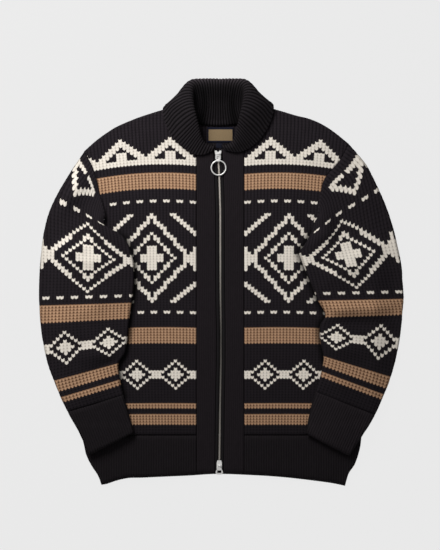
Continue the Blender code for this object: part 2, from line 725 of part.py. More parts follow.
def make_box(name, x0, x1, y0, y1, z0, z1, finish):
    points = [(x, y, z) for z in (z0, z1) for y in (y0, y1) for x in (x0, x1)]
    faces = [(0, 2, 3, 1), (4, 5, 7, 6), (0, 1, 5, 4), (2, 6, 7, 3), (0, 4, 6, 2), (1, 3, 7, 5)]
    return add_object(name, points, faces, finish)


def strip(name, left_x, right_x, bottom_y, top_y, low, thick, finish):
    """Thin strip that follows the zip: left_x and right_x are offsets from the zip line."""
    grid = []
    for j in range(BAND_ROWS):
        y = bottom_y + (top_y - bottom_y) * j / (BAND_ROWS - 1)
        grid.append([(zip_x(y) + left_x, y), (zip_x(y) + right_x, y)])
    return slab(name, grid, lambda i, j, x, y: front_low(x, y) + low,
                lambda i, j, x, y: front_low(x, y) + low + thick, finish, 0.25)


def make_label(name, place, finish):
    """Bare label on the inside of the back neck."""
    x, y, wide, tall = place
    low = BACK_TOP + SEAM
    return make_box(name, x - wide / 2, x + wide / 2, y - tall / 2, y + tall / 2,
                    low, low + LABEL_THICK, finish)


def plate(name, outline, low, high, finish):
    """Flat plate over a plan outline that runs anticlockwise or clockwise."""
    turn = sum(a[0] * b[1] - b[0] * a[1] for a, b in zip(outline, outline[1:] + outline[:1]))
    if turn < 0:
        outline = outline[::-1]
    count = len(outline)
    points = [(x, y, low) for x, y in outline] + [(x, y, high) for x, y in outline]
    faces = [tuple(range(count - 1, -1, -1)), tuple(range(count, 2 * count))]
    faces += [(i, (i + 1) % count, count + (i + 1) % count, count + i) for i in range(count)]
    return add_object(name, points, faces, finish)


def rod(name, half, radius, y, z, finish):
    """Round rod along X, centred on the middle line."""
    points = []
    for x in (-half, half):
        for k in range(ROUND_SIDES):
            a = 2 * math.pi * k / ROUND_SIDES
            points.append((x, y + radius * math.cos(a), z + radius * math.sin(a)))
    faces = [tuple(range(ROUND_SIDES - 1, -1, -1)), tuple(range(ROUND_SIDES, 2 * ROUND_SIDES))]
    faces += [(k, (k + 1) % ROUND_SIDES, ROUND_SIDES + (k + 1) % ROUND_SIDES, ROUND_SIDES + k)
              for k in range(ROUND_SIDES)]
    return add_object(name, points, faces, finish)


def combine(target, guide, operation):
    """Add a guide shape to the target, or cut it away; the guide itself isn't part of the model."""
    step = target.modifiers.new(guide.name, "BOOLEAN")
    step.operation = operation
    step.object = guide
    step.solver = "EXACT"
    guide.parent = target
    guide.hide_render = True
    guide.display_type = "WIRE"


def place(target, x, y, z, tilt=0.0):
    target.location = (x * MM, y * MM, z * MM)
    target.rotation_euler = (tilt, 0.0, 0.0)


def make_slider(name, outline, pin_y, finish):
    """Slider body with two posts that carry the pull's pin, about the pin's axis."""
    low, high = SLIDER_LOW - PIN_HIGH, SLIDER_HIGH - PIN_HIGH
    body = plate(name, outline, low, high, finish)
    for k, (x0, x1) in enumerate(((-POST_OUT, -POST_IN), (POST_IN, POST_OUT))):
        post = make_box(f"{name}_post_{k}", x0, x1, -POST_HALF, POST_HALF, high - POST_SINK,
                        POST_RISE, finish)
        combine(body, post, "UNION")
    combine(body, rod(f"{name}_pin", (POST_IN + POST_OUT) / 2, PIN_RADIUS, 0.0, 0.0, finish), "UNION")
    place(body, zip_x(pin_y), pin_y, PIN_HIGH)
    return body


def make_pull(name, outline, slot, pin_y, tilt, finish, foot=False):
    """Flat pull that turns on a slider's pin; a foot is the eye that its ring runs through."""
    half = PULL_THICK / 2
    body = plate(name, outline, -half, half, finish)
    combine(body, rod(f"{name}_eye", EYE_HALF, EYE_RADIUS, 0.0, 0.0, finish), "UNION")
    if foot:
        combine(body, rod(f"{name}_foot", FOOT_HALF, FOOT_RADIUS, -LINK_LONG, 0.0, finish), "UNION")
        foot_bore = rod(f"{name}_foot_bore", 2 * FOOT_HALF, FOOT_BORE, -LINK_LONG, 0.0, finish)
        combine(body, foot_bore, "DIFFERENCE")
    combine(body, rod(f"{name}_eye_bore", 2 * EYE_HALF, EYE_BORE, 0.0, 0.0, finish), "DIFFERENCE")
    x0, x1, y0, y1 = slot
    combine(body, make_box(f"{name}_slot", x0, x1, y0, y1, -PULL_THICK, PULL_THICK, finish), "DIFFERENCE")
    place(body, zip_x(pin_y), pin_y, PIN_HIGH, tilt)
    return body


def make_ring(name, finish):
    """Wire ring that hangs in the foot of the top pull."""
    points = []
    for j in range(RING_STEPS):
        a = 2 * math.pi * j / RING_STEPS
        for i in range(RING_SIDES):
            b = 2 * math.pi * i / RING_SIDES
            reach = RING_RADIUS + RING_WIRE * math.cos(b)
            points.append((reach * math.sin(a), reach * math.cos(a) - RING_RADIUS,
                           RING_WIRE * math.sin(b)))
    faces = []
    for j in range(RING_STEPS):
        here = j * RING_SIDES
        ahead = (j + 1) % RING_STEPS * RING_SIDES
        for i in range(RING_SIDES):
            n = (i + 1) % RING_SIDES
            faces.append((here + i, here + n, ahead + n, ahead + i))
    ring = add_object(name, points, faces, finish)
    y = TOP_PIN_Y - LINK_LONG * math.cos(LINK_TILT)
    z = PIN_HIGH - LINK_LONG * math.sin(LINK_TILT)
    place(ring, zip_x(TOP_PIN_Y), y, z, RING_TILT)


def make_zip(tape, chain, metal):
    """Tapes, chain, sliders and pulls."""
    edge = ZIP_HALF - SEAM
    inner = CHAIN_HALF + SEAM
    top = ZIP_TOP_Y - ZIP_SHORT
    strip("zip_tape_right", -edge, -inner, ZIP_END_Y, top, TAPE_LOW, TAPE_THICK, tape)
    strip("zip_tape_left", inner, edge, ZIP_END_Y, top, TAPE_LOW, TAPE_THICK, tape)
    strip("zip_chain", -CHAIN_HALF, CHAIN_HALF, ZIP_END_Y, top, CHAIN_LOW, CHAIN_THICK, chain)
    make_slider("slider_top", TOP_SLIDER, TOP_PIN_Y, metal)
    make_pull("pull_link_top", LINK_FRAME, LINK_SLOT, TOP_PIN_Y, LINK_TILT, metal, foot=True)
    make_ring("pull_ring", metal)
    make_slider("slider_bottom", BOTTOM_SLIDER, BOTTOM_PIN_Y, metal)
    make_pull("pull_bottom", BOTTOM_PULL, BOTTOM_SLOT, BOTTOM_PIN_Y, BOTTOM_TILT, metal)


def build():
    for thing in list(bpy.data.objects):
        bpy.data.objects.remove(thing, do_unlink=True)
    knit = material("charcoal_knit", (0.022, 0.021, 0.026), 0.9)
    rib = material("charcoal_rib", (0.019, 0.018, 0.022), 0.88)
    make_back(knit)
    make_front(-1, "front_right", knit)
    make_front(1, "front_left", knit)
    make_back_hem(rib)
    make_front_hem(-1, "hem_rib_front_right", rib)
    make_front_hem(1, "hem_rib_front_left", rib)
    make_band(-1, "band_right", rib)
    make_band(1, "band_left", rib)
    make_sleeve(-1, "sleeve_right", knit)
    make_sleeve(1, "sleeve_left", knit)
    make_cuff(-1, "cuff_right", rib)
    make_cuff(1, "cuff_left", rib)
    make_collar(rib)
    tape = material("zip_tape", (0.012, 0.012, 0.016), 0.8)
    chain = material("zip_metal", (0.72, 0.66, 0.52), 0.35, 1.0)
    metal = material("slider_metal", (0.66, 0.65, 0.62), 0.3, 1.0)
    make_zip(tape, chain, metal)
    make_label("neck_label", LABEL, material("label_cloth", (0.30, 0.20, 0.11), 0.8))
    make_label("size_tab", SIZE_TAB, material("tab_cloth", (0.03, 0.035, 0.06), 0.8))


build()
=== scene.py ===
"""The looks of a chunky knitted zip cardigan, laid flat: stitches, ribs, zip teeth, floor and light."""
import math

import bmesh
import bpy
import numpy as np
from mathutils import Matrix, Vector


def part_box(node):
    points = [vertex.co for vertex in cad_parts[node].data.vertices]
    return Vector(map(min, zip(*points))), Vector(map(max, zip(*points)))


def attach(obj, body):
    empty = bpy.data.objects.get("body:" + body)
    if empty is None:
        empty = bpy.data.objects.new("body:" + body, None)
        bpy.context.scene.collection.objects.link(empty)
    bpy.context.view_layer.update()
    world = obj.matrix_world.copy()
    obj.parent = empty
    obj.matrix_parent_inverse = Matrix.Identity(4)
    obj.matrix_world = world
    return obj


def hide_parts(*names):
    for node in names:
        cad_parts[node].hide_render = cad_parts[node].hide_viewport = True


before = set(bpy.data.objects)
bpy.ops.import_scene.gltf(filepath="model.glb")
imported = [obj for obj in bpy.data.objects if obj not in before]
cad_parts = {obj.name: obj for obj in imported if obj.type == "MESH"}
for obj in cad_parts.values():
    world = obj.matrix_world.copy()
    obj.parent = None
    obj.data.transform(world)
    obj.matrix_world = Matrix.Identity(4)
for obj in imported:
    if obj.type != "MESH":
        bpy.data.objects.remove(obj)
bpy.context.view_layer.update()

MM = 0.001
PIXEL = 1.85          # millimetres to a pixel of the photo
PHOTO_TALL = 550      # pixels
WORD = {-1: "right", 1: "left"}     # the wearer's side that each sign of x stands for

# The cloth, in millimetres, as the solids have it
KNIT = 4.0
BACK_TOP = KNIT
SEAM = 0.3
FRONT_REST = BACK_TOP + SEAM
LOFT = 3.0
LOFT_RUN = 60.0
SHOULDER_TOP = (90.0, 322.0)    # where the shoulders start beside the neck: x, y
SHOULDER_SLOPE = 0.36
LOFT_AT_SHOULDER = 18.0         # how far before the shoulders the loft begins to rise
SLEEVE_CLEAR = 1.4
DRAPE_FLAT = 2.0
DRAPE_RUN = 45.0
HEM_SEAM_Y = -282.0
BAND_EDGE = {-1: -40.3, 1: 47.8}
BAND_TOP_Y = 251.5
ZIP_TOP_Y = 243.5
ZIP_END_Y = -351.5
ZIP_HALF = 8.4
ZIP_LINE = np.array([(1.5, -360), (2.5, -290), (3.4, -220), (4.8, -150), (5, -90),
                     (3.9, -20), (3.7, 60), (3.6, 130), (1.9, 190), (-1.2, 250)])
HEM_MIDDLE = (0, -353)
RIB_HEIGHT = 0.9
RIB_REACH = 20.0                # how far above the hem's seam a sleeve is still held up by its ribs
ARMHOLE_BLEND = 4.0
AIR_EDGE = 0.9
AIR_MIDDLE = 3.2
UPPER_ENDS = 0.8 * math.pi      # how far round its edges a sleeve's upper skin runs, and its lower one
LOWER_ENDS = 0.5 * math.pi
SIDE_ROWS = 6
BACK_HEM_DROP = 1.5
EDGE_MET = 1.5          # the back's two faces each turn this far round their edge, just short of meeting

# Stitches: width of a wale, height of a row, and how far a stitch's V points down
WALE = 6.0            # on the back
WALE_AT = [(-260, 5.75), (-124, 6), (155, 6.15), (190, 6.25), (290, 6.65)]  # y, width
SLEEVE_WALE = 6.7
ROW = 5.0
SLEEVE_ROW = 5.2
V_DROP = 0.35
BACK_ROWS = (-1, 122)           # stitch lines from below the hem's seam to above the shoulders
BACK_WALES = (-48, 48)
HEM_ROWS = (-19, 1)
SINK = [(-280, 0.5e-4), (-120, 2.0e-4), (160, 7.5e-4)]  # y, how fast a front's rows sink
SINK_FROM = 62.0      # how far out from the band the rows are highest
STITCH_HIGH = 0.6
BACK_HIGH = 0.7       # height of the stitches and ribs on the back's outer face

# Painted shadow that a sleeve's inner edge casts on the front below it: how dark and how wide
SLEEVE_SHADOW_DARK = 0.8
SLEEVE_SHADOW_WIDE = 9.0
SLEEVE_TURN_SHADE = 0.45        # how dark the painted shade on a sleeve is where it turns under

# Ribs: width and height of one rib
CUFF_RIB = 4.6
CUFF_HIGH = 0.9
HEM_RIB = 4.6
BACK_HEM_HALF = 270.0           # as far out as the ribs of the back hem run
FRONT_HEM_WIDE = 230.0
BAND_WIDE = 44.0
HEM_HIGH = 0.8
BAND_RIB = 3.4
BAND_HIGH = 0.45

# Light: where the key comes from, its power, and the pale backlit floor
KEY_PLACE = (-0.66, 1.02, 0.95)
KEY_SIZE = 0.7
KEY_POWER = 24.0
WORLD_LIGHT = 0.27
FLOOR_PALE = 0.02
FLOOR_GLOW = 0.803
CAMERA_AT = (0.0031, 0.013, 3.2)

CHARCOAL, CREAM, TAN = 0, 1, 2

BODY_EDGE = np.array([
    # right y, right x, left y, left x
    (-373, -216, -375, 234),
    (-357, -222, -366, 236.5),
    (-342, -232, -352, 241),
    (-321, -243, -336, 252),
    (-300, -248, -308, 261),
    (-282, -252, -282, 264.5),
    (-237, -264, -228, 273),
    (-163, -275, -163, 278),
    (-70, -279, -70, 280),
    (37, -277, 33, 277),
    (48, -256, 44, 236),
    (67, -232, 61, 210),
    (92, -216, 85, 191),
    (118, -210, 111, 184.5),
    (136, -213, 133, 185.5),
    (165, -220, 165, 190),
    (192, -226, 192, 198),
    (215, -234, 226, 226),
    (241, -248, 255, 241),
])
ARMHOLE_ROW = 13
SHOULDER_RIGHT = [(-248, 241), (-228, 259), (-208, 274), (-186, 287.5),
                  (-152, 302), (-127, 310.5), (-90, 322)]
SHOULDER_LEFT = [(241, 255), (211, 279), (188, 293), (166, 302),
                 (143, 307.5), (120, 314.5), (90, 323)]
FRONT_NECK = [(90, 322), (84, 300), (77, 283), (66, 268), (54, 257)]
BACK_NECK = [(90, 322), (80, 306), (62, 296), (36, 291), (0, 290)]
HEM_RIGHT = [(-216, -373), (-206, -371.5), (-187, -365), (-165, -360.5),
             (-142, -360), (-98, -358), (-54, -356), (BAND_EDGE[-1], -355)]
HEM_LEFT = [(234, -375), (213, -370.5), (191, -367.3), (153, -362.5),
            (114, -358.5), (70, -355.6), (BAND_EDGE[1], -354.2)]

SLEEVE_RIGHT = np.array([
    # outer x, outer y, inner x, inner y
    (-248.6, 240, -211, 117),
    (-284, 186, -207, 98),
    (-309, 138, -182, 90),
    (-321, 97, -166, 69),
    (-327, 54, -157, 40),
    (-330, 15, -155, 12),
    (-331, -17, -156, -13),
    (-330, -52, -161, -46),
    (-327, -88, -165, -77),
    (-321, -124, -168, -106),
    (-313, -156, -172, -130),
    (-302, -184, -184, -151),
    (-290, -213, -181, -180),
    (-276, -241, -174, -211),
    (-261, -267, -166, -240),
    (-249, -291, -160, -260),
    (-237, -319, -155, -277),
])
SLEEVE_LEFT = np.array([
    # outer x, outer y, inner x, inner y
    (241.8, 254, 185.5, 110),
    (272, 218, 180, 113),
    (291, 182, 172, 92),
    (308.8, 142, 158, 67),
    (321.8, 103, 149, 56),
    (331, 65, 153, 41),
    (338, 31, 162, 17),
    (340, 2, 171, -4),
    (342, -28, 182, -31),
    (340, -55, 197, -60),
    (338, -80, 188, -78),
    (334, -110, 187, -97),
    (326, -148, 190, -118),
    (315, -184, 194, -143),
    (302, -215, 188, -172),
    (287, -247, 178, -205),
    (267, -279, 169, -239),
    (240, -320, 161, -279),
])
CUFF_ROW = {-1: 12.9, 1: 14.9}

SLEEVE_FOLDS = [
    # start x, start y, end x, end y, half width, height
    (-247, 196, -285, 136, 15, 6.5),
    (-296, 150, -250, 118, 15, -2.5),
    (-214, 112, -184, 74, 13, 6),
    (-300, 62, -205, 30, 22, 3.5),
    (-190, -20, -260, -62, 20, 3),
    (-318, -70, -240, -104, 20, 3),
    (-182, -148, -236, -166, 12, -2.8),
    (-185, -128, -250, -138, 14, 4),
    (-262, -215, -205, -196, 16, 2.5),
    (186, 130, 206, 96, 13, 6),
    (206, 96, 176, 74, 13, 5),
    (232, 190, 290, 128, 18, 4),
    (192, -50, 282, -50, 14, 9),
    (282, -50, 330, -44, 13, 4),
    (196, -74, 300, -76, 12, -2.5),
    (262, 40, 205, 8, 22, 3.5),
    (200, -118, 262, -128, 15, 3.5),
    (250, -190, 205, -176, 16, 2.5),
]

COLLAR = np.array([
    # seam x, y, z, stand x, y, z, roll x, y, z, crest x, y, z, fall x, y, z, edge x, y, z
    (0, 292, 7.5, 0, 330, 12, 0, 366, 20, 0, 372.3, 14.5, 0, 360, 5.5, 0, 327, 2.2),
    (20, 293, 7.5, 23, 330, 12, 27, 366, 20, 29, 372.3, 15, 29, 359.5, 5.5, 28, 328, 2.2),
    (38, 295, 8, 41, 326, 14, 45, 361, 24, 51, 370, 18, 56, 359.5, 7, 54, 334, 2.4),
    (60, 301, 9, 48, 319, 19, 48, 343, 30, 62.5, 353.5, 26, 74, 345.5, 13, 75, 334, 4),
    (80, 311, 9, 56, 312, 21, 45, 323, 33, 62, 332.5, 31, 84, 332, 21, 95, 326.5, 12.5),
    (82, 300.6, 9, 58, 302, 20, 40, 304, 33, 58, 311, 32, 84, 317, 22.5, 101, 315, 14.2),
    (75.6, 285.3, 9.5, 54, 288, 18, 36, 288, 28, 50, 289, 28.5, 74, 289, 21.5, 93, 290, 15.2),
    (64, 269.6, 9.5, 45, 273, 16, 32, 270, 23, 41, 268, 24.5, 60, 266, 20.5, 77, 265, 15.6),
    (46, 256, 9.5, 34, 260, 14, 25, 257, 17.5, 30, 253, 20, 42, 251, 18.5, 53, 246, 15.6),
    (30, 251, 9.5, 22, 254, 12.5, 15, 252, 15, 18, 248, 17.6, 25, 245, 17.2, 32, 240, 15.6),
    (13, 250.5, 9.5, 9, 252.5, 11.8, 5.5, 251, 13.6, 6, 248.5, 15.8, 8, 247, 16.2, 10, 244.5, 15.6),
])
COLLAR_RIBS = 72
COLLAR_BELOW = 1.6
COLLAR_ABOVE = 1.2
COLLAR_RIB_HIGH = 1.3
COLLAR_LEAN = 22.0      # how far a rib's outer end leans towards the zip
COLLAR_LEAN_FROM = 2.0  # guide line at which the lean starts
STRAIGHT_FROM = 3.9     # row of the table where the ribs of the fall begin to run straight
COLLAR_SHIFT = {
    # row of the table, x, y that the fall's edge moves by on this side of the collar
    -1: [(0, 0, 0), (2.8, 0, 0), (4.8, -4, 0), (6.5, -3, -3), (7.8, -2, -5),
         (9, 0, -4), (10, 0, -1)],
    1: [(0, 0, -1.5), (1.3, 0, 1), (2.2, 0, 3), (3, 0, 6), (4, 0, 1), (5, 0, 0), (10, 0, 0)],
}
SHIFT_SHARE = np.array([0, 0, 0.2, 0.4, 0.7, 1])   # share of that shift that each guide line takes
# Painted shade of the collar over its guide lines; below 0 it paints the seam's ridge lighter
COLLAR_SHADE = [(0, -0.6), (0.3, 0.4), (0.9, 0.4), (1.3, 0.62), (1.7, 0.64), (2.1, 0.2), (2.5, 0), (5, 0)]
COLLAR_LIT = 0.33       # brightness of the collar under its painted shade, beside that of the painted highlight on its crest at the back
LIT_AT = (2.75, 0.8)    # guide line of that painted highlight on the crest, and how wide it is
LEFT_SHADE = 0.25       # how dark the painted shade on the fall on the wearer's left is
CORNER_SHADE = 0.8      # how dark the painted shade in the stand's two back corners is
CORNER_AT = (0.17, 0.075)  # where along the half collar those painted dark corners are, and how wide

# Zip, in millimetres from its line: teeth, tapes, and the ring on the top pull
TOOTH_REACH = 1.75
TOOTH_PITCH = 2.54
TEETH_LOW_Y = -327.0
TEETH_TOP_Y = 225.0
TOOTH_RINGS = [(1.3, 1.0), (3.2, 1.0), (3.7, 0.62)]    # height above the front, how wide the tooth is
# How bright the teeth are along the zip, as painted light and shade: y in metres, brightness
TOOTH_TONE = [(-0.35, 0.68), (-0.22, 0.32), (-0.1, 0.14), (-0.02, 0.36), (0.05, 0.6), (0.24, 0.85)]
TAPE_EDGES = (2.4, 8.1)
TAPE_LOW = 1.6
TAPE_THICK = 0.9
WEAVE = 1.2           # width of one repeat of the woven cloth's own coordinates
TOP_PIN_Y = 236.5
RING_AT = (223.767, 14.297)   # the foot of the pull that it hangs from: y, z
RING_RADIUS = 13.4
RING_WIRE = 1.3
RING_TILT = 0.048
RING_ASIDE = 1.0      # how far the ring hangs to the wearer's left of the pull


def smooth(rows, place):
    """Points on the smooth curve through rows; place is an array that counts rows from 0."""
    rows = np.asarray(rows, float)
    place = np.asarray(place, float)
    last = len(rows) - 1
    i = np.clip(np.floor(place).astype(int), 0, last - 1)
    t = (place - i)[..., None]
    a = rows[np.maximum(i - 1, 0)]
    b = rows[i]
    c = rows[i + 1]
    d = rows[np.minimum(i + 2, last)]
    return b + 0.5 * t * (c - a + t * (2 * a - 5 * b + 4 * c - d + t * (3 * (b - c) + d - a)))


def run_along(points):
    """Length along a line of points, 0 at the first of them."""
    return np.concatenate([[0.0], np.cumsum(np.linalg.norm(np.diff(points, axis=0), axis=1))])


def along(points, count):
    """count points evenly spaced by length on the smooth curve through points."""
    points = np.asarray(points, float)
    fine = smooth(points, np.linspace(0, len(points) - 1, 24 * (len(points) - 1) + 1))
    run = run_along(fine)
    want = np.linspace(0, run[-1], count)
    return np.stack([np.interp(want, run, column) for column in fine.T], axis=1)


def ease(t):
    """Runs smoothly from 0 to 1 as t does."""
    t = np.clip(t, 0.0, 1.0)
    return t * t * (3 - 2 * t)


def edge_points(side, first=0, last=len(BODY_EDGE)):
    """Rows of the body outline on one side, -1 for the wearer's right."""
    column = 0 if side < 0 else 2
    return BODY_EDGE[first:last, [column + 1, column]]


def edge_x(side, y):
    return np.interp(y, *edge_points(side)[:, ::-1].T)


def zip_x(y):
    return np.interp(y, ZIP_LINE[:, 1], ZIP_LINE[:, 0])


def front_low(x, y):
    """Height of a front's lower face: it lies on the back at its edges and lofts between."""
    edge = np.where(x < 0, np.abs(edge_x(-1, y)), np.abs(edge_x(1, y)))
    in_from_side = edge - np.abs(x)
    shoulder_x, shoulder_y = SHOULDER_TOP
    below_shoulder = shoulder_y - SHOULDER_SLOPE * np.maximum(np.abs(x) - shoulder_x, 0.0) - y
    lift = ease(in_from_side / LOFT_RUN) * ease((below_shoulder + LOFT_AT_SHOULDER) / LOFT_RUN)
    return FRONT_REST + LOFT * lift


def front_top(x, y):
    return front_low(x, y) + KNIT


def back_top(x, y):
    return np.full_like(x, BACK_TOP)


HIDDEN_EDGE = {side: along(edge_points(side, 0, ARMHOLE_ROW + 1), 160) for side in WORD}


def ground(side, x, y):
    """Height that the underside of a sleeve lies at."""
    line = HIDDEN_EDGE[side]
    away = np.min(np.hypot(x[..., None] - line[:, 0], y[..., None] - line[:, 1]), axis=-1)
    on_body = (y < line[-1, 1]) & (np.abs(x) < np.abs(edge_x(side, y)))
    reach = np.where(on_body, 1.0, ease(1 - np.maximum(away - DRAPE_FLAT, 0.0) / DRAPE_RUN))
    rib = np.where(y < HEM_SEAM_Y + RIB_REACH, RIB_HEIGHT, 0.0)
    return (front_top(x, y) + SLEEVE_CLEAR + rib) * reach


def folds(x, y):
    """Height that the folds add to the upper side of a sleeve."""
    total = np.zeros_like(x)
    for xa, ya, xb, yb, half, high in SLEEVE_FOLDS:
        dx, dy = xb - xa, yb - ya
        t = np.clip(((x - xa) * dx + (y - ya) * dy) / (dx * dx + dy * dy), 0.0, 1.0)
        away = np.hypot(x - xa - dx * t, y - ya - dy * t) / half
        total += np.where(x * xa > 0, high * np.exp(-away ** 2) * (0.55 + 0.45 * np.sin(math.pi * t)), 0.0)
    return total


def stitch_lines(first, last, step):
    """Line numbers from first to last in stitches, step lines to a stitch."""
    return np.arange(round(first * step), round(last * step) + 1) / step


def knit_relief(u, v):
    """Height of plain knitting, 0 to 1: u counts wales, v counts rows before the V is drawn down."""
    leg = 1 - np.abs(np.abs((u % 1) * 2 - 1) * 2 - 1)
    across = 0.12 + 0.88 * np.sqrt(np.clip(leg, 0, 1))
    across = np.where(np.abs((u % 1) - 0.5) < 0.01, 0.55, across)
    return across * (0.55 + 0.45 * np.abs(np.sin(math.pi * v)))


def rib_relief(u, v):
    """Height of ribbing: one round rib for each step of u."""
    return np.sin(math.pi * (u % 1)) ** 0.7 * (0.93 + 0.07 * np.cos(2 * math.pi * v))


def v_shift(u):
    """How far the V of a stitch is drawn down at a place across the wale."""
    return V_DROP * (1 - np.abs((u % 1) * 2 - 1))


def no_shift(u):
    return np.zeros_like(u)


RIBBED = {"relief": rib_relief, "drawn": no_shift}


def inside(points, outline):
    """True for the points that lie inside a closed outline."""
    x, y = points.T
    hit = np.zeros(len(points), bool)
    for (xa, ya), (xb, yb) in zip(outline, np.roll(outline, -1, axis=0)):
        if ya == yb:
            continue
        crosses = (ya > y) != (yb > y)
        hit ^= crosses & (x < (xb - xa) * (y - ya) / (yb - ya) + xa)
    return hit


def nearest_on(points, outline):
    """Nearest place on a dense closed outline, and the distance to it, negative outside."""
    runs = np.roll(outline, -1, axis=0) - outline
    best = np.full(len(points), 1e9)
    place = np.zeros_like(points)
    for start, run in zip(outline, runs):
        t = np.clip(((points - start) @ run) / max((run ** 2).sum(), 1e-12), 0, 1)
        near = start + t[:, None] * run
        away = np.hypot(*(points - near).T)
        closer = away < best
        best[closer] = away[closer]
        place[closer] = near[closer]
    return place, np.where(inside(points, outline), best, -best)


def placed(name, data):
    """A new object of the scene that shows data."""
    item = bpy.data.objects.new(name, data)
    bpy.context.scene.collection.objects.link(item)
    return item


def add_mesh(name, points, faces, slots, finishes, uv=None, painted_shading=None):
    """Smooth object from millimetre points; slots is the finish of each face, uv one pair a point.

    painted_shading says how much painted shade a point takes, from 0 to 1.
    """
    mesh = bpy.data.meshes.new(name)
    faces = np.asarray(faces, np.int32)
    mesh.vertices.add(len(points))
    mesh.vertices.foreach_set("co", (np.asarray(points, np.float32) * MM).ravel())
    mesh.loops.add(faces.size)
    mesh.loops.foreach_set("vertex_index", faces.ravel())
    mesh.polygons.add(len(faces))
    mesh.polygons.foreach_set("loop_start", np.arange(0, faces.size, faces.shape[1], dtype=np.int32))
    mesh.update(calc_edges=True)
    for finish in finishes:
        mesh.materials.append(finish)
    if slots is not None:
        mesh.polygons.foreach_set("material_index", np.asarray(slots, np.int32))
    mesh.polygons.foreach_set("use_smooth", np.full(len(faces), True))
    # painted shade for each point, which the yarn material reads
    if painted_shading is not None:
        layer = mesh.attributes.new("painted_shading", "FLOAT", "POINT")
        layer.data.foreach_set("value", np.asarray(painted_shading, np.float32))
    if uv is not None:
        layer = mesh.uv_layers.new(name="stitches")
        layer.data.foreach_set("uv", np.asarray(uv, np.float32)[faces.ravel()].ravel())
    mesh.validate()
    return placed(name, mesh)


def flat_mesh(name, points, faces, finish):
    """Flat-faced object from millimetre points and faces of any number of corners."""
    mesh = bpy.data.meshes.new(name)
    mesh.from_pydata([[c * MM for c in point] for point in points], [], faces)
    mesh.materials.append(finish)
    return placed(name, mesh)


def stand_for(piece, node, body="root"):
    """Hides the node that a piece stands for, and hangs the piece from the body that it moves with."""
    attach(piece, body)
    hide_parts(node)


def cloth(piece, node):
    """Stands a piece of cloth for its node on the root body, as stand_for does."""
    stand_for(piece, node)


def listed(*grids):
    """One row for each place of a grid, with the value that each of grids has there."""
    return np.column_stack([grid.ravel() for grid in grids])


def drop_unused(points, faces, *facts):
    """Only the points that some face uses, and the facts kept for each point."""
    used = np.unique(faces)
    number = np.full(len(points), -1)
    number[used] = np.arange(len(used))
    return points[used], number[faces], *[fact[used] for fact in facts]


def grid_faces(rows, columns):
    """Quads between the points of a grid, row by row."""
    a = (np.arange(rows - 1)[:, None] * columns + np.arange(columns - 1)).ravel()
    return np.stack([a, a + 1, a + columns + 1, a + columns], axis=1)


def tube_faces(rings, count):
    """Quads between closed rings of count points each."""
    first = np.arange(rings - 1)[:, None] * count
    a = first + np.arange(count)
    b = first + (np.arange(count) + 1) % count
    return np.stack([a, b, b + count, a + count], axis=2).reshape(-1, 4)


def yarn_of(chart, u, v):
    """Yarn of each cell between the stitch lines u and v."""
    cells = np.meshgrid(*[np.floor(lines[:-1] + 1e-6).astype(int) for lines in (u, v)])
    return chart(*cells).ravel()


def rounding(inward, edge):
    """How far a face sinks over its rounded edge; inward is the distance in from the edge."""
    over = np.clip(edge - inward, 0, edge)
    return edge - np.sqrt(edge ** 2 - over ** 2)


def panel(name, outline, plan, top, chart, u_span, v_span, finishes, fine=(4, 3), thick=KNIT,
          relief=knit_relief, high=STITCH_HIGH, drawn=v_shift, edge=2.3, flip=False, painted_shading=None):
    """Knitted sheet over a plan outline, its edge rounded over and turned down.

    plan(u, v) gives the plan place of a stitch line, top(x, y) the height of its outer face and
    chart(wale, row) its yarn.
    """
    u = stitch_lines(*u_span, fine[0])
    v = stitch_lines(*v_span, fine[1])
    uu, vv = np.meshgrid(u, v)
    flat = listed(*plan(uu, vv - drawn(uu)))
    place, depth = nearest_on(flat, outline)
    lift = (relief(uu, vv) * high).ravel()
    past_edge = (depth < 0)[:, None]
    away = flat - place
    away /= np.maximum(np.hypot(*away.T), 1e-9)[:, None]
    away = np.where(past_edge, away, -away)
    turned = np.clip(edge - depth, 0, edge) / edge
    at = np.where(past_edge, place, flat) + away * (lift * turned)[:, None] * 0.5
    down = np.clip(-depth, 0, thick - edge)
    height = top(*at.T) - rounding(depth, edge) - down + lift * (1 - turned * 0.6)
    faces = grid_faces(*uu.shape)
    keep = depth[faces].max(axis=1) > -(thick - edge)
    faces = faces[keep][:, ::-1] if flip else faces[keep]
    # painted shade of each point, none where no function for it is given
    shade = painted_shading(at) if painted_shading else np.zeros(len(at))
    points, faces, uv, shade = drop_unused(np.column_stack([at, height]), faces, listed(uu, vv), shade)
    return add_mesh(name, points, faces, yarn_of(chart, u, v)[keep], finishes, uv, shade)


def closed_outline(*curves):
    """One closed plan outline from curves that run on from each other, densely sampled."""
    pieces = [along(curve, max(8, int(np.ptp(np.asarray(curve), axis=0).max() / 6))) for curve in curves]
    return np.concatenate([piece[:-1] for piece in pieces])


def front_outline(side):
    outer = edge_points(side, SIDE_ROWS - 1)
    shoulder = SHOULDER_RIGHT if side < 0 else SHOULDER_LEFT
    neck = [(side * x, y) for x, y in FRONT_NECK] + [(BAND_EDGE[side], BAND_TOP_Y)]
    band = [neck[-1], (BAND_EDGE[side], HEM_SEAM_Y)]
    return closed_outline(outer, shoulder, neck, band, [band[-1], tuple(outer[0])])


def hem_outline(side):
    outer = edge_points(side, 0, SIDE_ROWS)[::-1].copy()
    outer[0, 1] = HEM_SEAM_Y - SEAM
    hem = HEM_RIGHT if side < 0 else HEM_LEFT
    band = [hem[-1], (BAND_EDGE[side], HEM_SEAM_Y - SEAM)]
    return closed_outline(outer, hem, band, [band[-1], tuple(outer[0])])


def back_outline():
    right = edge_points(-1, SIDE_ROWS - 1)
    left = edge_points(1, SIDE_ROWS - 1)[::-1]
    neck = [(-x, y) for x, y in BACK_NECK] + BACK_NECK[-2::-1]
    return closed_outline(right, SHOULDER_RIGHT, neck, SHOULDER_LEFT[::-1], left,
                          [tuple(left[-1]), tuple(right[0])])


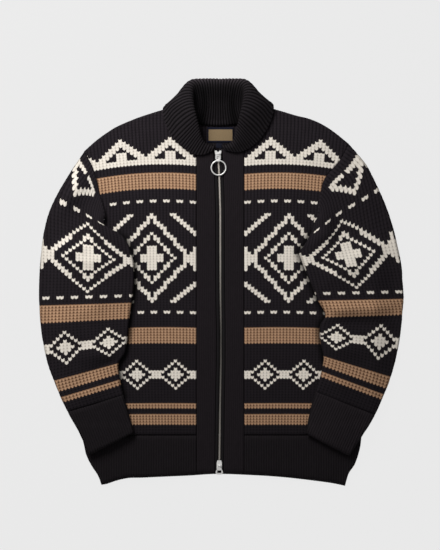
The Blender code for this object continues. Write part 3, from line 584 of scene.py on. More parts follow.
def back_hem_outline():
    right = edge_points(-1, 0, SIDE_ROWS).copy()
    left = edge_points(1, 0, SIDE_ROWS)[::-1].copy()
    right[-1, 1] = left[0, 1] = HEM_SEAM_Y - SEAM
    hem = [(x, y - BACK_HEM_DROP) for x, y in HEM_LEFT[:-1] + [HEM_MIDDLE] + HEM_RIGHT[-2::-1]]
    right[0], left[-1] = hem[-1], hem[0]
    return closed_outline(right, [tuple(right[-1]), tuple(left[0])], left, hem)


def within(value, low, high):
    return (value >= low) & (value <= high)


def near_repeat(c, every, start=0):
    """Place of each wale from the middle of the repeat that it is in."""
    return (c - start + every // 2) % every - every // 2


def diamond(c, r, wide, tall):
    """Distance from a motif's middle in steps of the motif: 1 on its edge."""
    return np.abs(c) / wide + np.abs(r) / tall


def small_lozenges(put, c, r):
    """A chain of small lozenges, each with a filled heart, whose middles lie on row 0 of r."""
    small = near_repeat(c, 12, 6)
    ring = diamond(small, r, 5.6, 5.6)
    put((ring > 0.72) & (ring <= 1.0) & (np.abs(r) <= 6))
    put(diamond(small, r, 2.1, 2.1) <= 1)
    put((np.abs(near_repeat(c, 12)) <= 1) & (np.abs(r) <= 1))


def big_lozenges(put, c, r, start, tall, heart):
    """Stepped lozenges with a second one and a cross inside, whose middles lie on row 0 of r.

    start is the wale of the first middle, and heart how far out the inner lozenge reaches.
    """
    big = near_repeat(c, 26, start)
    far = diamond(big, r, 12.5, tall)
    put((far > 0.86) & (far <= 0.99))
    put((far > 0.50) & (far <= heart))
    put((np.abs(big) <= 1) & (np.abs(r) <= 4))
    put((np.abs(big) <= 3) & (np.abs(r) <= 1))
    put(diamond(near_repeat(c, 26, start + 13), r, 3.2, 4.2) <= 1)


def body_chart(k, r):
    """Yarn of a front's stitch: k counts wales out from the band, r rows up from the hem seam."""
    yarn = np.full(np.broadcast(k, r).shape, CHARCOAL)

    def put(where, colour=CREAM):
        yarn[where & (k >= 0)] = colour

    for low, high in ((4, 7), (10, 11), (34, 39), (91, 96)):
        put(within(r, low, high), TAN)
    for dashes in (45, 86):
        put((r == dashes) & (k % 4 < 2))
    small_lozenges(put, k, r - 22)
    big_lozenges(put, k, r - 65, 13, 16.5, 0.60)
    gap = np.abs(near_repeat(k, 26))
    for start, way in ((49, 1), (81, -1)):
        steps = 7 - (r - start) * way
        put(within(steps, 0, 7) & (gap <= steps) & (gap > steps - 2))
    tooth = np.abs(near_repeat(k, 14, 7))
    rise = 109 - r
    put(within(r, 102, 109) & (tooth <= rise) & (tooth > rise - 3))
    put(within(r, 100, 101))
    put(within(r, 102, 104) & (tooth <= 1))
    return yarn


def sleeve_chart(c, r):
    """Yarn of a sleeve's stitch: c counts wales from its middle line, r rows down from the armhole."""
    yarn = np.full(np.broadcast(c, r).shape, CHARCOAL)

    def put(where, colour=CREAM):
        yarn[where] = colour

    tooth = np.abs(near_repeat(c, 10, 5))
    put((c <= 0) & within(r, 3, 8) & (tooth <= 8 - r) & (tooth > 6 - r))
    put((c <= 0) & (r == 2) & (tooth > 0))
    for dashes in (11, 40):
        put((r == dashes) & (c % 4 < 2))
    big_lozenges(put, c, r - 26, 0, 13.0, 0.62)
    small_lozenges(put, c, r - 57)
    for low, high in ((43, 48), (67, 70), (73, 74)):
        put(within(r, low, high), TAN)
    return yarn


def plain_chart(c, r):
    return np.full(np.broadcast(c, r).shape, CHARCOAL)


def painted_sleeve_shadow(side, at):
    """How dark the painted shadow beside a sleeve is at the points of a front, from 0 to 1."""
    table = SLEEVE_RIGHT if side < 0 else SLEEVE_LEFT
    line = along(table[2:14, 2:], 120)
    away = np.min(np.hypot(at[:, :1] - line[:, 0], at[:, 1:2] - line[:, 1]), axis=1)
    below_start = ease((line[0, 1] + 20 - at[:, 1]) / 30)
    # painted shadow, darkest along the sleeve's inner edge
    return SLEEVE_SHADOW_DARK * np.exp(-(away / SLEEVE_SHADOW_WIDE) ** 2) * below_start


def make_front(side, finishes):
    """One front: stitches in rows that arch a little."""
    def plan(u, v):
        y = HEM_SEAM_Y + v * ROW
        out = u * np.interp(y, *np.transpose(WALE_AT))
        sink = np.interp(y, *np.transpose(SINK)) * (np.clip(out, 0, None) - SINK_FROM) ** 2
        return BAND_EDGE[side] + side * out, y - sink

    piece = panel(f"front_{WORD[side]}_knit", front_outline(side), plan, front_top, body_chart, (-1, 43),
                  (-2, 124), finishes, flip=side < 0, painted_shading=lambda at: painted_sleeve_shadow(side, at))
    cloth(piece, f"front_{WORD[side]}")


def make_hem(side, finish):
    """Ribbed hem under one front."""
    def plan(u, v):
        return BAND_EDGE[side] + side * u * HEM_RIB, HEM_SEAM_Y + v * ROW

    piece = panel(f"hem_{WORD[side]}_knit", hem_outline(side), plan, front_top, plain_chart,
                  (-1, FRONT_HEM_WIDE / HEM_RIB), HEM_ROWS, [finish], fine=(6, 1), high=HEM_HIGH,
                  flip=side < 0, **RIBBED)
    cloth(piece, f"hem_rib_front_{WORD[side]}")


def make_band(side, finish):
    """Finely ribbed front band beside the zip."""
    low_y = ZIP_END_Y - 1.5
    outer_x = BAND_EDGE[side] - side * SEAM
    inner = [(float(zip_x(y)) + side * ZIP_HALF, y) for y in np.linspace(ZIP_TOP_Y, low_y, 25)]
    top = [(outer_x, BAND_TOP_Y - SEAM), (side * 24.0, 246.0), inner[0]]
    outline = closed_outline([(outer_x, low_y), top[0]], top, inner, [inner[-1], (outer_x, low_y)])

    def plan(u, v):
        y = low_y + v * ROW
        return zip_x(y) + side * (ZIP_HALF + u * BAND_RIB), y

    piece = panel(f"band_{WORD[side]}_knit", outline, plan, front_top, plain_chart,
                  (-1, BAND_WIDE / BAND_RIB), (-1, 124), [finish], fine=(4, 1), high=BAND_HIGH,
                  flip=side < 0, **RIBBED)
    cloth(piece, f"band_{WORD[side]}")


def closed_up(name, upper, lower):
    """One object from the two faces of a sheet made face up: lower is turned over, and the rims joined.

    lower's stitches then stand on the floor.
    """
    for point in lower.data.vertices:
        point.co.z = (KNIT + BACK_HIGH) * MM - point.co.z
    lower.data.flip_normals()
    pieces = [upper, lower]
    with bpy.context.temp_override(active_object=upper, selected_editable_objects=pieces,
                                   selected_objects=pieces, object=upper):
        bpy.ops.object.join()
    upper.name = name
    solid = bmesh.new()
    solid.from_mesh(upper.data)
    bmesh.ops.bridge_loops(solid, edges=[edge for edge in solid.edges if edge.is_boundary])
    solid.to_mesh(upper.data)
    solid.free()
    return upper


def make_back(finishes):
    """Back panel: patterned face down on the floor, plain inner face up."""
    def plan(u, v):
        return u * WALE, HEM_SEAM_Y + v * ROW

    def outer_chart(c, r):
        return body_chart(np.abs(c), r)

    def face(name, chart, fine, **looks):
        return panel(name, back_outline(), plan, back_top, chart, BACK_WALES, BACK_ROWS, finishes, fine,
                     thick=EDGE_MET, edge=EDGE_MET, **looks)

    outer = face("back_outer", outer_chart, (2, 2), high=BACK_HIGH)
    inner = face("back_inner", plain_chart, (2, 1), high=0.5, drawn=no_shift)
    piece = closed_up("back_panel_knit", inner, outer)
    cloth(piece, "back_panel")


def make_back_hem(finish):
    """Ribbed hem of the back, the same on both faces."""
    def plan(u, v):
        return u * HEM_RIB, HEM_SEAM_Y + v * ROW

    most = BACK_HEM_HALF / HEM_RIB
    faces = [panel(f"hem_back_{k}", back_hem_outline(), plan, back_top, plain_chart, (-most, most), HEM_ROWS,
                   [finish], fine=(4, 1), thick=EDGE_MET, edge=EDGE_MET, high=BACK_HIGH, **RIBBED)
             for k in range(2)]
    cloth(closed_up("hem_back_knit", *faces), "hem_rib_back")


class Sleeve:
    """Surface of one sleeve, from its armhole to its cuff: a flattened tube that lies on the front."""

    def __init__(self, side):
        self.side = side
        self.table = SLEEVE_RIGHT if side < 0 else SLEEVE_LEFT
        self.places = np.linspace(0, len(self.table) - 1, 500)
        ends = smooth(self.table, self.places)
        self.run = run_along((ends[:, :2] + ends[:, 2:]) / 2)
        self.half = np.hypot(*(ends[:, 2:] - ends[:, :2]).T) / 2
        armhole = along(edge_points(side, ARMHOLE_ROW)[::-1], 60)
        straight = armhole[0] + (armhole[-1] - armhole[0]) * np.linspace(0, 1, 60)[:, None]
        self.bend = armhole - straight
        self.radius = {way: self.edge_radius(way) for way in (-1, 1)}

    def edge_radius(self, way):
        """Radius of the turn at one edge, -1 for the outer one, at each of the places."""
        inset = (KNIT + 1.2) * 1.3
        top, low = self.heights(*self.plan(way * (self.half - inset), self.places))
        return (top - low) / 2

    def place_at(self, length):
        return np.interp(length, self.run, self.places)

    def length_at(self, place):
        return np.interp(place, self.places, self.run)

    def plan(self, offset, place):
        """Plan point at an offset from the middle line, towards the inner edge, and its share across."""
        ends = smooth(self.table, place)
        s = (offset / np.interp(place, self.places, self.half) + 1) / 2
        keep = np.clip(1 - place / ARMHOLE_BLEND, 0, 1) ** 1.5
        t = np.clip(s, 0, 1) * 59
        x, y = (ends[..., k] + (ends[..., k + 2] - ends[..., k]) * s
                + np.interp(t, np.arange(60), self.bend[:, k]) * keep for k in (0, 1))
        return x, y, s

    def before(self, offset, length, x, y):
        """Moves plan points on past the armhole, at right angles to it, where length is negative."""
        armhole = np.zeros_like(length)
        ahead_x, ahead_y, _ = self.plan(offset + 1, armhole)
        back_x, back_y, _ = self.plan(offset - 1, armhole)
        along_x, along_y = ahead_x - back_x, ahead_y - back_y
        extra = self.side * np.clip(-length, 0, None) / np.hypot(along_x, along_y)
        return x + extra * along_y, y - extra * along_x

    def heights(self, x, y, s):
        """Heights of the sleeve's upper and lower faces at a plan point."""
        low = ground(self.side, x, y)
        air = AIR_EDGE + (AIR_MIDDLE - AIR_EDGE) * np.sin(math.pi * np.clip(s, 0, 1))
        swell = folds(x, y) * ease(6 * s) * ease(6 * (1 - s))
        return low + 2 * KNIT + np.maximum(air + swell, AIR_EDGE * 0.8), low

    def face(self, offset, length, lift=0.0, upper=True):
        """Points of the upper face, turned on round both edges, or of the lower one, turned up there.

        The fourth value is the angle that a point has turned by.
        """
        place = self.place_at(length)
        way = np.where(offset < 0, -1, 1)
        radius = np.where(way < 0, *[np.interp(place, self.places, self.radius[k]) for k in (-1, 1)])
        straight = np.interp(place, self.places, self.half) - radius
        past = np.clip(np.abs(offset) - straight, 0, None)
        angle = np.clip(past / radius, 0, math.pi if upper else math.pi / 2)
        back_in = np.clip(past - math.pi * radius, 0, None) if upper else 0.0
        reach = way * (np.minimum(np.abs(offset), straight) - back_in)
        x, y, s = self.plan(reach, place)
        x, y = self.before(reach, length, x, y)
        top, low = self.heights(x, y, s)
        out = radius + lift * np.clip(3 - 4 * angle / math.pi, 0, 1)
        ends = smooth(self.table, place)
        dx, dy = ends[..., 2] - ends[..., 0], ends[..., 3] - ends[..., 1]
        aside = way * out * np.sin(angle) / np.hypot(dx, dy)
        turned = (top + low) / 2 + out * np.cos(angle)
        z = np.where(past > 0, turned, top + lift) if upper else low + radius * (1 - np.cos(angle))
        return x + dx * aside, y + dy * aside, z, past / radius


def end_lip(inward, edge=2.0):
    """How far a face sinks near a cut end, and past it."""
    return rounding(inward, edge) + np.clip(-inward, 0, None)


def tube_skin(name, sleeve, first, last, tuck, chart, finishes, width, tall, fine, high,
              relief=knit_relief, drawn=v_shift):
    """Skin of a stretch of sleeve between two places: fine on top and round its edges, plain below."""
    start, end = sleeve.length_at(first) - tuck, sleeve.length_at(last)
    most = math.ceil(sleeve.half.max() / width + 5)
    rows = math.ceil((end - start) / tall)
    u = stitch_lines(-most, most, fine[0])
    v = stitch_lines(-2, rows + 1, fine[1])
    uu, vv = np.meshgrid(u, v)
    length = start + (vv + drawn(uu)) * tall
    begin = start - tuck * ease(uu * width / sleeve.half[0])
    sink = end_lip(length - begin) + end_lip(end - length)
    lift = relief(uu, vv) * high * np.clip(1 - sink / 2.5, 0, 1)
    x, y, z, angle = sleeve.face(uu * width, np.clip(length, begin, end), lift)
    z = z - sink * np.cos(np.clip(angle, 0, math.pi))
    faces = grid_faces(*uu.shape)
    keep = angle.ravel()[faces].min(axis=1) < UPPER_ENDS
    keep &= sink.ravel()[faces].min(axis=1) < KNIT
    # painted shade where the sleeve's skin turns under at its edges
    shade = SLEEVE_TURN_SHADE * ease((angle.ravel() - 0.1) / 0.9)
    upper = drop_unused(listed(x, y, z), faces[keep], listed(uu, vv), shade)
    yarn = yarn_of(chart, u, v)[keep]
    u, v = np.arange(-most, most + 1), np.arange(0, rows + 1)
    uu, vv = np.meshgrid(u, v)
    x, y, z, angle = sleeve.face(uu * width, np.clip(start + vv * tall, start, end), upper=False)
    faces = grid_faces(*uu.shape)
    keep = angle.ravel()[faces].min(axis=1) < LOWER_ENDS
    lower = drop_unused(listed(x, y, z), faces[keep], listed(uu, vv), np.zeros(uu.size))
    points, _, uv, shade = (np.concatenate(both) for both in zip(upper, lower))
    flip = 1 if sleeve.side > 0 else -1
    faces = np.concatenate([upper[1][:, ::flip], lower[1][:, ::-flip] + len(upper[0])])
    yarn = np.concatenate([yarn, yarn_of(chart, u, v)[keep]])
    return add_mesh(name, points, faces, yarn, finishes, uv, shade)


def make_sleeve(side, finishes):
    piece = tube_skin(f"sleeve_{WORD[side]}_knit", Sleeve(side), 0.0, CUFF_ROW[side], 2.0, sleeve_chart,
                      finishes, SLEEVE_WALE, SLEEVE_ROW, (4, 3), STITCH_HIGH)
    cloth(piece, f"sleeve_{WORD[side]}")


def make_cuff(side, finish):
    sleeve = Sleeve(side)
    piece = tube_skin(f"cuff_{WORD[side]}_knit", sleeve, CUFF_ROW[side] + 0.02, len(sleeve.table) - 1.0, 1.0,
                      plain_chart, [finish], CUFF_RIB, ROW, (6, 1), CUFF_HIGH, **RIBBED)
    cloth(piece, f"cuff_{WORD[side]}")


def collar_middle(way, guides):
    """Middle of the collar's wall, over guide lines and stations; way is -1 to 1 round the neck."""
    samples = 600
    sample = np.linspace(0, len(COLLAR) - 1, samples)
    table = smooth(COLLAR, sample).reshape(samples, 6, 3)
    curves = [np.stack([smooth(row, guide) for row in table]) for guide in guides]
    runs = [run_along(curve) for curve in curves]

    def column_at(k, shift):
        where = np.clip(np.abs(way) * runs[k][-1] + shift, 0, runs[k][-1])
        return np.stack([np.interp(where, runs[k], axis) for axis in curves[k].T], axis=1)

    plain = np.stack([column_at(k, 0.0) for k in range(len(guides))])
    step = np.hypot(*np.diff(plain[..., :2], axis=0).T).T * (guides[1:] > COLLAR_LEAN_FROM)[:, None]
    out = np.concatenate([np.zeros((1, len(way))), np.cumsum(step, axis=0)])
    out /= out[-1]
    lean = COLLAR_LEAN * ease(np.abs(way) / 0.25) * ease((1 - np.abs(way)) / 0.45)
    columns = np.stack([column_at(k, lean * out[k]) for k in range(len(guides))])
    roll = int(np.searchsorted(guides, COLLAR_LEAN_FROM))
    rows_by_length = np.interp(np.linspace(0, runs[roll][-1], samples), runs[roll], sample)
    row = np.interp(np.abs(way) * (samples - 1), np.arange(samples), rows_by_length)
    straight = columns[roll] + (columns[-1] - columns[roll]) * out[roll:, :, None]
    bowed = columns[roll:, :, :2]
    bowed += (straight[..., :2] - bowed) * ease((row - STRAIGHT_FROM) / 1.6)[None, :, None]
    columns[..., 0] *= np.sign(way)
    share = np.interp(guides, np.arange(6), SHIFT_SHARE)[:, None]
    for side, shifts in COLLAR_SHIFT.items():
        rows, *shift = np.transpose(shifts)
        for axis in (0, 1):
            columns[..., axis] += share * (np.sign(way) == side) * np.interp(row, rows, shift[axis])
    return columns


def collar_shade(way, guides):
    """Painted shade of the collar at each station and guide line, from 0 to 1: dark everywhere but on the
    painted highlight of its crest at the back.
    """
    shade = np.interp(guides, *np.transpose(COLLAR_SHADE))
    corner = CORNER_SHADE * np.exp(-((np.abs(way) - CORNER_AT[0]) / CORNER_AT[1]) ** 2)
    dark = np.maximum(shade, corner[:, None] * ease((2.3 - guides) / 0.8))
    crest = np.exp(-((guides - LIT_AT[0]) / LIT_AT[1]) ** 2) * ease((0.3 - np.abs(way)) / 0.15)[:, None]
    left = ease((guides - 3.0) / 1.2) * ease((way - 0.2) / 0.15)[:, None]
    return 1 - (1 - dark) * (COLLAR_LIT + (1 - COLLAR_LIT) * crest) * (1 - LEFT_SHADE * left)


def collar_wall(middle, rib):
    """Closed loop of points round the wall at each station: upper face, rounded edge, lower face."""
    over = np.gradient(middle, axis=1)
    normal = -np.cross(over, np.gradient(middle, axis=0))
    normal /= np.maximum(np.linalg.norm(normal, axis=2), 1e-9)[..., None]
    swell = np.sin(math.pi * (rib % 1))
    above = middle + normal * (COLLAR_ABOVE + COLLAR_RIB_HIGH * swell ** 0.7 - 0.3)[:, None, None]
    below = middle - normal * (COLLAR_BELOW - 0.3 + 0.3 * swell)[:, None, None]
    outward = over[:, -1] / np.linalg.norm(over[:, -1], axis=1)[:, None]
    nose = []
    for turn in np.radians([45, 90, 135]):
        t = math.cos(turn) * 0.5 + 0.5
        nose.append(above[:, -1] * t + below[:, -1] * (1 - t) + outward * 1.2 * math.sin(turn))
    return np.concatenate([above, np.stack(nose, axis=1), below[:, ::-1]], axis=1), len(nose)


def make_collar(finish):
    """Ribbed shawl collar, one rib after another round the neck, closed all round."""
    stations = COLLAR_RIBS * 6 + 1
    way = np.linspace(-1, 1, stations)
    guides = np.linspace(0, 5, 48)
    columns = collar_middle(way, guides)
    into_seam = columns[0] - columns[1]
    into_seam /= np.linalg.norm(into_seam, axis=1)[:, None]
    at_back = ease(1.6 * (1 - np.abs(way) / 0.5))[:, None]
    tucked = columns[0] + into_seam * (0.6 + 3.0 * at_back) - np.array([0, 0, 2.0]) * at_back
    rib = np.linspace(0, COLLAR_RIBS, stations)
    loop, nose = collar_wall(np.stack([tucked, *columns], axis=1), rib)
    count = loop.shape[1]
    k = np.arange(len(guides) + 2)
    cap = np.stack([k, k + 1, count - 2 - k, count - 1 - k], axis=1)
    faces = np.concatenate([tube_faces(stations, count)[:, [0, 3, 2, 1]], cap,
                            (cap + (stations - 1) * count)[:, ::-1]])
    steps = run_along(loop[stations // 2])
    uv = listed(*np.broadcast_arrays(rib[:, None], steps / ROW))
    # painted shade and the painted highlight of the back crest, for each point of the wall; none on the
    # rounded edge
    shade = collar_shade(way, guides)
    shade = np.concatenate([shade[:, :1], shade], axis=1)
    shade = np.concatenate([shade, np.zeros((stations, nose)), shade[:, ::-1]], axis=1)
    piece = add_mesh("collar_knit", loop.reshape(-1, 3), faces, None, [finish], uv, shade.ravel())
    cloth(piece, "collar")


def make_teeth(finish):
    """Two rows of metal teeth along the zip."""
    outline = np.array([(TOOTH_REACH, -0.7), (0.8, -0.7), (0.4, -0.95), (-0.5, -0.85), (-0.8, 0.0),
                        (-0.5, 0.85), (0.4, 0.95), (0.8, 0.7), (TOOTH_REACH, 0.7)])
    out, up = outline.T
    count = len(outline)
    caps = [[2 * count + k for k in cap] for cap in ((0, 1, 7, 8), (1, 2, 6, 7), (2, 3, 5, 6), (3, 4, 5))]
    tooth = tube_faces(len(TOOTH_RINGS), count).tolist() + caps
    points, faces = [], []
    for side in WORD:
        for k in range(int((TEETH_TOP_Y - TEETH_LOW_Y) / TOOTH_PITCH)):
            y = TEETH_LOW_Y + (k + (0.5 if side > 0 else 0.0)) * TOOTH_PITCH
            base = float(front_low(np.array(zip_x(y)), np.array(y)))
            faces += [[len(points) + corner for corner in face] for face in tooth]
            for high, wide in TOOTH_RINGS:
                x = zip_x(y) + side * (0.5 + (out - 0.5) * (wide * 0.25 + 0.75))
                points += np.column_stack([x, y + up * wide * side, np.full(count, base + high)]).tolist()
    stand_for(flat_mesh("zip_teeth", points, faces, finish), "zip_chain")


def make_tape(side, finish):
    """Woven tape beside the teeth, its outer edge under the band's edge."""
    heights = np.linspace(ZIP_END_Y, ZIP_TOP_Y - 1.0, 150)
    near, far = TAPE_EDGES
    across = side * np.array([near, near + 0.3, (near + far) / 2, far - 0.3, far])
    swell = np.array([0.0, TAPE_THICK, TAPE_THICK, TAPE_THICK, 0.0])
    x = zip_x(heights)[:, None] + across
    y = np.broadcast_to(heights[:, None], x.shape)
    base = front_low(x, y) + TAPE_LOW
    top = np.stack([x, y, base + swell], axis=2)
    bottom = np.stack([x, y, base], axis=2)[:, -2:0:-1]
    loop = np.concatenate([top, bottom], axis=1)
    count = loop.shape[1]
    ends = np.array([(0, 7, 6, 1), (1, 6, 5, 2), (2, 5, 4, 3)])
    faces = np.concatenate([tube_faces(len(heights), count), ends,
                            ends[:, ::-1] + (len(heights) - 1) * count])
    points = loop.reshape(-1, 3)
    piece = add_mesh(f"tape_{WORD[side]}_cloth", points, faces[:, ::side], None, [finish],
                     points[:, :2] / WEAVE)
    cloth(piece, f"zip_tape_{WORD[side]}")


def make_ring(finish):
    """Round wire ring that runs through the foot of the top pull."""
    turns, rounds = 96, 16
    turn, around = np.meshgrid(*[np.linspace(0, 2 * math.pi, k + 1)[:-1] for k in (turns, rounds)],
                               indexing="ij")
    radius = RING_RADIUS + RING_WIRE * np.cos(around)
    down = radius * np.cos(turn) - RING_RADIUS
    lift = RING_WIRE * np.sin(around)
    points = listed(zip_x(TOP_PIN_Y) + RING_ASIDE + radius * np.sin(turn),
                    RING_AT[0] + down * math.cos(RING_TILT) + lift * math.sin(RING_TILT),
                    RING_AT[1] + down * math.sin(RING_TILT) + lift * math.cos(RING_TILT))
    faces = tube_faces(turns + 1, rounds) % (turns * rounds)
    ring = add_mesh("top_ring_wire", points, faces, None, [finish])
    stand_for(ring, "pull_ring", "top_ring")


def round_edges(node, finish):
    """The material of a plated part, and the small rounding of its edges."""
    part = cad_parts[node]
    part.material_slots[0].material = finish
    bevel = part.modifiers.new("rounded", "BEVEL")
    bevel.width = 0.35 * MM
    bevel.segments = 3
    bevel.limit_method = "ANGLE"
    bevel.angle_limit = math.radians(35)


def make_label(name, node, finishes, border, bowed):
    """Woven label, bare, slightly bowed; border is how wide its border is at its top and bottom."""
    columns, rows = 25, 15
    low, high = (np.array(corner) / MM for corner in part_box(node))
    s, t = np.meshgrid(np.linspace(0, 1, columns), np.linspace(0, 1, rows))
    x, y = (low[k] + (high[k] - low[k]) * share for k, share in enumerate((s, t)))
    rim = np.where((s % 1 == 0) | (t % 1 == 0), 0.25, 0.0)
    face = high[2] + bowed * np.sin(math.pi * s) * np.sin(math.pi * t) - rim
    points = np.concatenate([listed(x, y, face), listed(x, y, np.full_like(x, low[2] + 0.05))])
    top = grid_faces(rows, columns)
    grid = np.arange(rows * columns).reshape(rows, columns)
    loop = np.concatenate([grid[0], grid[1:, -1], grid[-1, -2::-1], grid[-2:0:-1, 0]])
    after = np.roll(loop, -1)
    sides = np.stack([loop, loop + grid.size, after + grid.size, after], axis=1)
    faces = np.concatenate([top, top[:, ::-1] + grid.size, sides])
    middles = points[faces].mean(axis=1)
    near_x, near_y = (np.minimum(middles[:, k] - low[k], high[k] - middles[:, k]) for k in (0, 1))
    in_field = (np.minimum(2.4 * near_x, near_y) > border).astype(int) if border else None
    piece = add_mesh(name, points, faces, in_field, finishes, points[:, :2] / WEAVE)
    cloth(piece, node)


def feed(tree, made, inputs):
    """Gives a node's inputs their numbers and colours, or the sockets that they take them from."""
    for key, value in inputs.items():
        if isinstance(value, bpy.types.NodeSocket):
            tree.links.new(value, made.inputs[key])
        else:
            made.inputs[key].default_value = (*value, 1) if isinstance(value, tuple) else value


def add_node(tree, kind, inputs, **settings):
    """Outputs of a new shader node with its settings and its inputs."""
    made = tree.nodes.new("ShaderNode" + kind)
    for key, value in settings.items():
        setattr(made, key, value)
    feed(tree, made, inputs)
    return made.outputs


def maths(tree, kind, *values):
    return add_node(tree, "Math", dict(enumerate(values)), operation=kind)[0]


def blend(tree, factor, first, second, kind="MIX"):
    return add_node(tree, "Mix", {"Factor": factor, "A": first, "B": second}, data_type="RGBA",
                    blend_type=kind)["Result"]


def graded(tree, value, start, end, **settings):
    """Number that follows a value: start and end each hold a value and the number there."""
    ends = {"From Min": start[0], "To Min": start[1], "From Max": end[0], "To Max": end[1]}
    return add_node(tree, "MapRange", {"Value": value, **ends}, **settings)["Result"]


def bumped(tree, height, strength, deep):
    return add_node(tree, "Bump", {"Strength": strength, "Distance": deep, "Height": height})["Normal"]


def object_place(tree):
    return add_node(tree, "TexCoord", {})["Object"]


def new_material(name):
    """A new material, its node tree and its shader."""
    made = bpy.data.materials.new(name)
    made.use_nodes = True
    return made, made.node_tree, made.node_tree.nodes["Principled BSDF"]


def scaled(colour, by):
    return tuple(min(c * by, 1.0) for c in colour)


def woven_material(name, colour, scale):
    """Fine woven cloth for tapes and labels."""
    made, tree, shader = new_material(name)
    place = object_place(tree)
    waves = [add_node(tree, "TexWave", {"Scale": scale, "Distortion": 0.4, "Vector": place},
                      bands_direction=way)["Fac"] for way in "XY"]
    both = maths(tree, "MULTIPLY", *waves)
    feed(tree, shader, {"Roughness": 0.8, "Specular IOR Level": 0.1,
                        "Normal": bumped(tree, both, 0.4, 0.0003),
                        "Base Color": blend(tree, both, scaled(colour, 0.6), scaled(colour, 1.25))})
    return made


def toned(tree, place, colour, tones):
    """The colour darkened by painted light and shade that changes along the zip."""
    low, high = tones[0][0], tones[-1][0]
    y = add_node(tree, "SeparateXYZ", {0: place})["Y"]
    share = maths(tree, "DIVIDE", maths(tree, "SUBTRACT", y, low), high - low)
    ramp = tree.nodes.new("ShaderNodeValToRGB")
    feed(tree, ramp, {"Fac": share})
    stops = ramp.color_ramp.elements
    for k, (at, tone) in enumerate(tones):
        stop = stops[k] if k < 2 else stops.new((at - low) / (high - low))
        stop.position = (at - low) / (high - low)
        stop.color = (tone, tone, tone, 1)
    return blend(tree, 1.0, colour, ramp.outputs["Color"], "MULTIPLY")


def metal_material(name, colour, roughness, metal, tones=()):
    """Plated metal with faint rubbing; tones are pairs of a place along the zip and a painted brightness of
    light and shade.
    """
    made, tree, shader = new_material(name)
    place = object_place(tree)
    noise = add_node(tree, "TexNoise", {"Scale": 220.0, "Detail": 4.0, "Vector": place})["Fac"]
    seen = blend(tree, noise, scaled(colour, 0.8), colour)
    if tones:
        seen = toned(tree, place, seen, tones)
    rough = graded(tree, noise, (0.0, roughness * 0.7), (1.0, roughness * 1.4))
    feed(tree, shader, {"Metallic": metal, "Base Color": seen, "Roughness": rough})
    return made


def from_middle(tree, count):
    """How far a place is from the middle of the stitch that a count of stitches puts it in."""
    return maths(tree, "ABSOLUTE", maths(tree, "MULTIPLY_ADD", maths(tree, "FRACT", count), 2.0, -1.0))


def yarn_material(name, colour, groove=(0.003, 0.003, 0.003), grooves=(0.4, 0.4), holes=(0.0, 1.0),
                  narrow=2.2, lines=0.0, low=1.0):
    """Cotton yarn with a fine twist, and painted shade between wales, in the small holes and in the lines
    between rows.

    The two numbers of grooves are how dark the painted shade in the grooves is at the hem and at the
    shoulders, those of holes how dark and how small the painted holes are; groove is the colour of that
    painted shade. lines is how dark the painted shade in the lines between rows is, and low the brightness
    at the hem
    beside that at the shoulders: painted shade that darkens the knit towards the hem.
    """
    made, tree, shader = new_material(name)
    uv = add_node(tree, "UVMap", {}, uv_map="stitches")["UV"]
    stitch = add_node(tree, "SeparateXYZ", {0: uv})
    across, up = from_middle(tree, stitch["X"]), from_middle(tree, stitch["Y"])
    y = add_node(tree, "SeparateXYZ", {0: object_place(tree)})["Y"]
    # Painted shade in the grooves, the holes and the lines between rows; that in the grooves grows towards
    # the shoulders
    groove_shade = graded(tree, y, (-0.2, grooves[0]), (0.32, grooves[1]), interpolation_type="SMOOTHSTEP")
    valley = maths(tree, "MULTIPLY", maths(tree, "POWER", across, narrow), groove_shade)
    hole = maths(tree, "POWER", maths(tree, "MULTIPLY", across, up), holes[1])
    between = maths(tree, "MULTIPLY", maths(tree, "POWER", up, 3.0), lines)
    darkest = maths(tree, "MAXIMUM", maths(tree, "MAXIMUM", valley, between),
                    maths(tree, "MULTIPLY", hole, holes[0]))
    noise = add_node(tree, "TexNoise", {"Scale": 0.35, "Detail": 3.0, "Vector": uv})["Fac"]
    plain = blend(tree, noise, scaled(colour, 0.84), scaled(colour, 1.12))
    knitted = blend(tree, maths(tree, "MINIMUM", darkest, 1.0), plain, groove)
    # Painted shade: darker towards the hem, and the mesh's painted_shading where that is darker; it blends
    # the knit towards near black
    painted_shading = add_node(tree, "Attribute", {}, attribute_name="painted_shading")["Fac"]
    shade = maths(tree, "MAXIMUM", graded(tree, y, (HEM_SEAM_Y * MM, 1.0 - low), (0.2, 0.0)), painted_shading)
    leg = maths(tree, "MULTIPLY_ADD", across, 1.3, stitch["Y"])
    twist = maths(tree, "SINE", maths(tree, "MULTIPLY", leg, 2 * math.pi * 3))
    fuzz = add_node(tree, "TexNoise", {"Scale": 9.0, "Vector": uv})["Fac"]
    rough = maths(tree, "MULTIPLY_ADD", twist, 0.35, fuzz)
    feed(tree, shader, {"Roughness": 0.9, "Specular IOR Level": 0.06,
                        "Normal": bumped(tree, rough, 0.5, 0.0006),
                        "Base Color": blend(tree, shade, knitted, (0.001, 0.001, 0.001))})
    return made


def make_light():
    """A soft square light that faces the middle of the floor."""
    data = bpy.data.lights.new("key", "AREA")
    data.size = KEY_SIZE
    data.energy = KEY_POWER
    data.color = (1.0, 0.99, 0.98)
    lamp = placed("key", data)
    lamp.location = KEY_PLACE
    lamp.rotation_euler = Vector(KEY_PLACE).to_track_quat("Z", "Y").to_euler()


def make_floor():
    """Pale floor that glows a little, as one lit from below does."""
    paper, tree, shader = new_material("pale_floor")
    feed(tree, shader, {"Base Color": (FLOOR_PALE, FLOOR_PALE, FLOOR_PALE), "Roughness": 1.0,
                        "Specular IOR Level": 0.0, "Emission Color": (1.0, 1.0, 1.0),
                        "Emission Strength": FLOOR_GLOW})
    half = 4000.0
    corners = [(x * half, y * half, -0.6) for x, y in ((-1, -1), (1, -1), (1, 1), (-1, 1))]
    flat_mesh("floor", corners, [(0, 1, 2, 3)], paper)


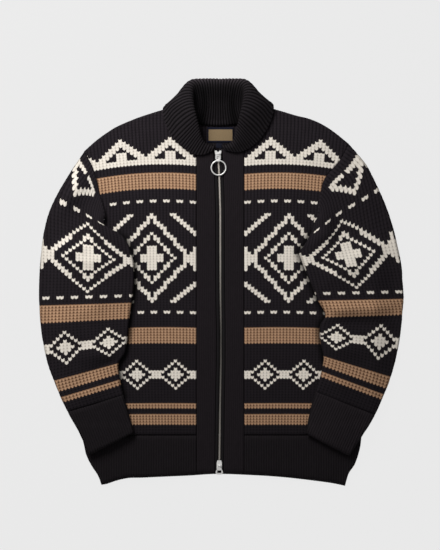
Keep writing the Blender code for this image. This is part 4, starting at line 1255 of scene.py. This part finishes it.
def make_studio():
    """Pale floor, soft light from all round and above, and the camera straight above."""
    scene = bpy.context.scene
    scene.view_settings.view_transform = "Standard"
    world = bpy.data.worlds.new("studio")
    scene.world = world
    world.use_nodes = True
    feed(world.node_tree, world.node_tree.nodes["Background"],
         {"Color": (0.99, 0.99, 1.0), "Strength": WORLD_LIGHT})
    make_light()
    make_floor()
    lens = bpy.data.cameras.new("camera")
    lens.sensor_fit = "VERTICAL"
    lens.sensor_height = 24.0
    lens.lens = lens.sensor_height * CAMERA_AT[2] / (PHOTO_TALL * PIXEL * MM)
    eye = placed("camera", lens)
    eye.location = CAMERA_AT
    scene.camera = eye


make_studio()
# Each yarn's groove colour is the painted shade between its wales and rows, and low its painted shade
# towards the hem
charcoal = yarn_material("charcoal_yarn", (0.0215, 0.0175, 0.021), (0.0015, 0.0015, 0.002), (0.22, 0.75),
                         (0.9, 1.2), lines=0.3, low=0.72)
rib = yarn_material("charcoal_rib_yarn", (0.0145, 0.012, 0.0138))
band_rib = yarn_material("charcoal_band_yarn", (0.0175, 0.014, 0.0165))
# A lighter copy of the rib yarn for the wearer's left cuff: the same yarn, painted lighter than the right
# cuff
cuff_rib = yarn_material("charcoal_cuff_yarn", (0.019, 0.0155, 0.018))
# The collar's yarn is a lit copy, about three times as bright as the other charcoal yarns; its painted shade
# darkens it back everywhere but at its painted highlight at the back.
collar_rib = yarn_material("charcoal_collar_yarn", (0.0626, 0.0525, 0.0604), (0.001, 0.001, 0.001),
                           (1.0, 1.0), narrow=1.5)
cream = yarn_material("cream_yarn", (0.88, 0.82, 0.73), (0.22, 0.17, 0.13), (0.2, 0.4), (0.9, 1.8),
                      narrow=3.0, lines=0.15)
tan = yarn_material("tan_yarn", (0.59, 0.36, 0.218), (0.075, 0.03, 0.014), (0.62, 0.75), (1.5, 1.0),
                    narrow=2.0, lines=0.6, low=0.88)
yarns = [charcoal, cream, tan]
nickel = metal_material("nickel", (0.95, 0.94, 0.92), 0.4, 0.55)
teeth = metal_material("pale_teeth", (0.93, 0.86, 0.78), 0.45, 0.6, TOOTH_TONE)
# A brighter copy of the same nickel plating for the lower slider and pull: painted reflection
bright_nickel = metal_material("bright_nickel", (0.97, 0.96, 0.94), 0.4, 0.2)
tape = woven_material("tape", (0.013, 0.0115, 0.0128), 700.0)
for side in WORD:
    make_front(side, yarns)
for side in WORD:
    make_sleeve(side, yarns)
make_cuff(-1, rib)
make_cuff(1, cuff_rib)
for side in WORD:
    make_hem(side, rib)
for side in WORD:
    make_band(side, band_rib)
make_back(yarns)
make_back_hem(rib)
make_collar(collar_rib)
make_teeth(teeth)
for side in WORD:
    make_tape(side, tape)
make_ring(nickel)
for part, plating in (("slider_top", nickel), ("pull_link_top", nickel), ("slider_bottom", bright_nickel),
                      ("pull_bottom", bright_nickel)):
    round_edges(part, plating)
make_label("neck_label_cloth", "neck_label",
           [woven_material("label_border", (0.0105, 0.0115, 0.024), 900.0),
            woven_material("label_field", (0.30, 0.215, 0.12), 900.0)], 3.4, 0.5)
make_label("size_tab_cloth", "size_tab",
           [woven_material("tab", (0.0115, 0.0125, 0.024), 900.0)], 0.0, 0.2)
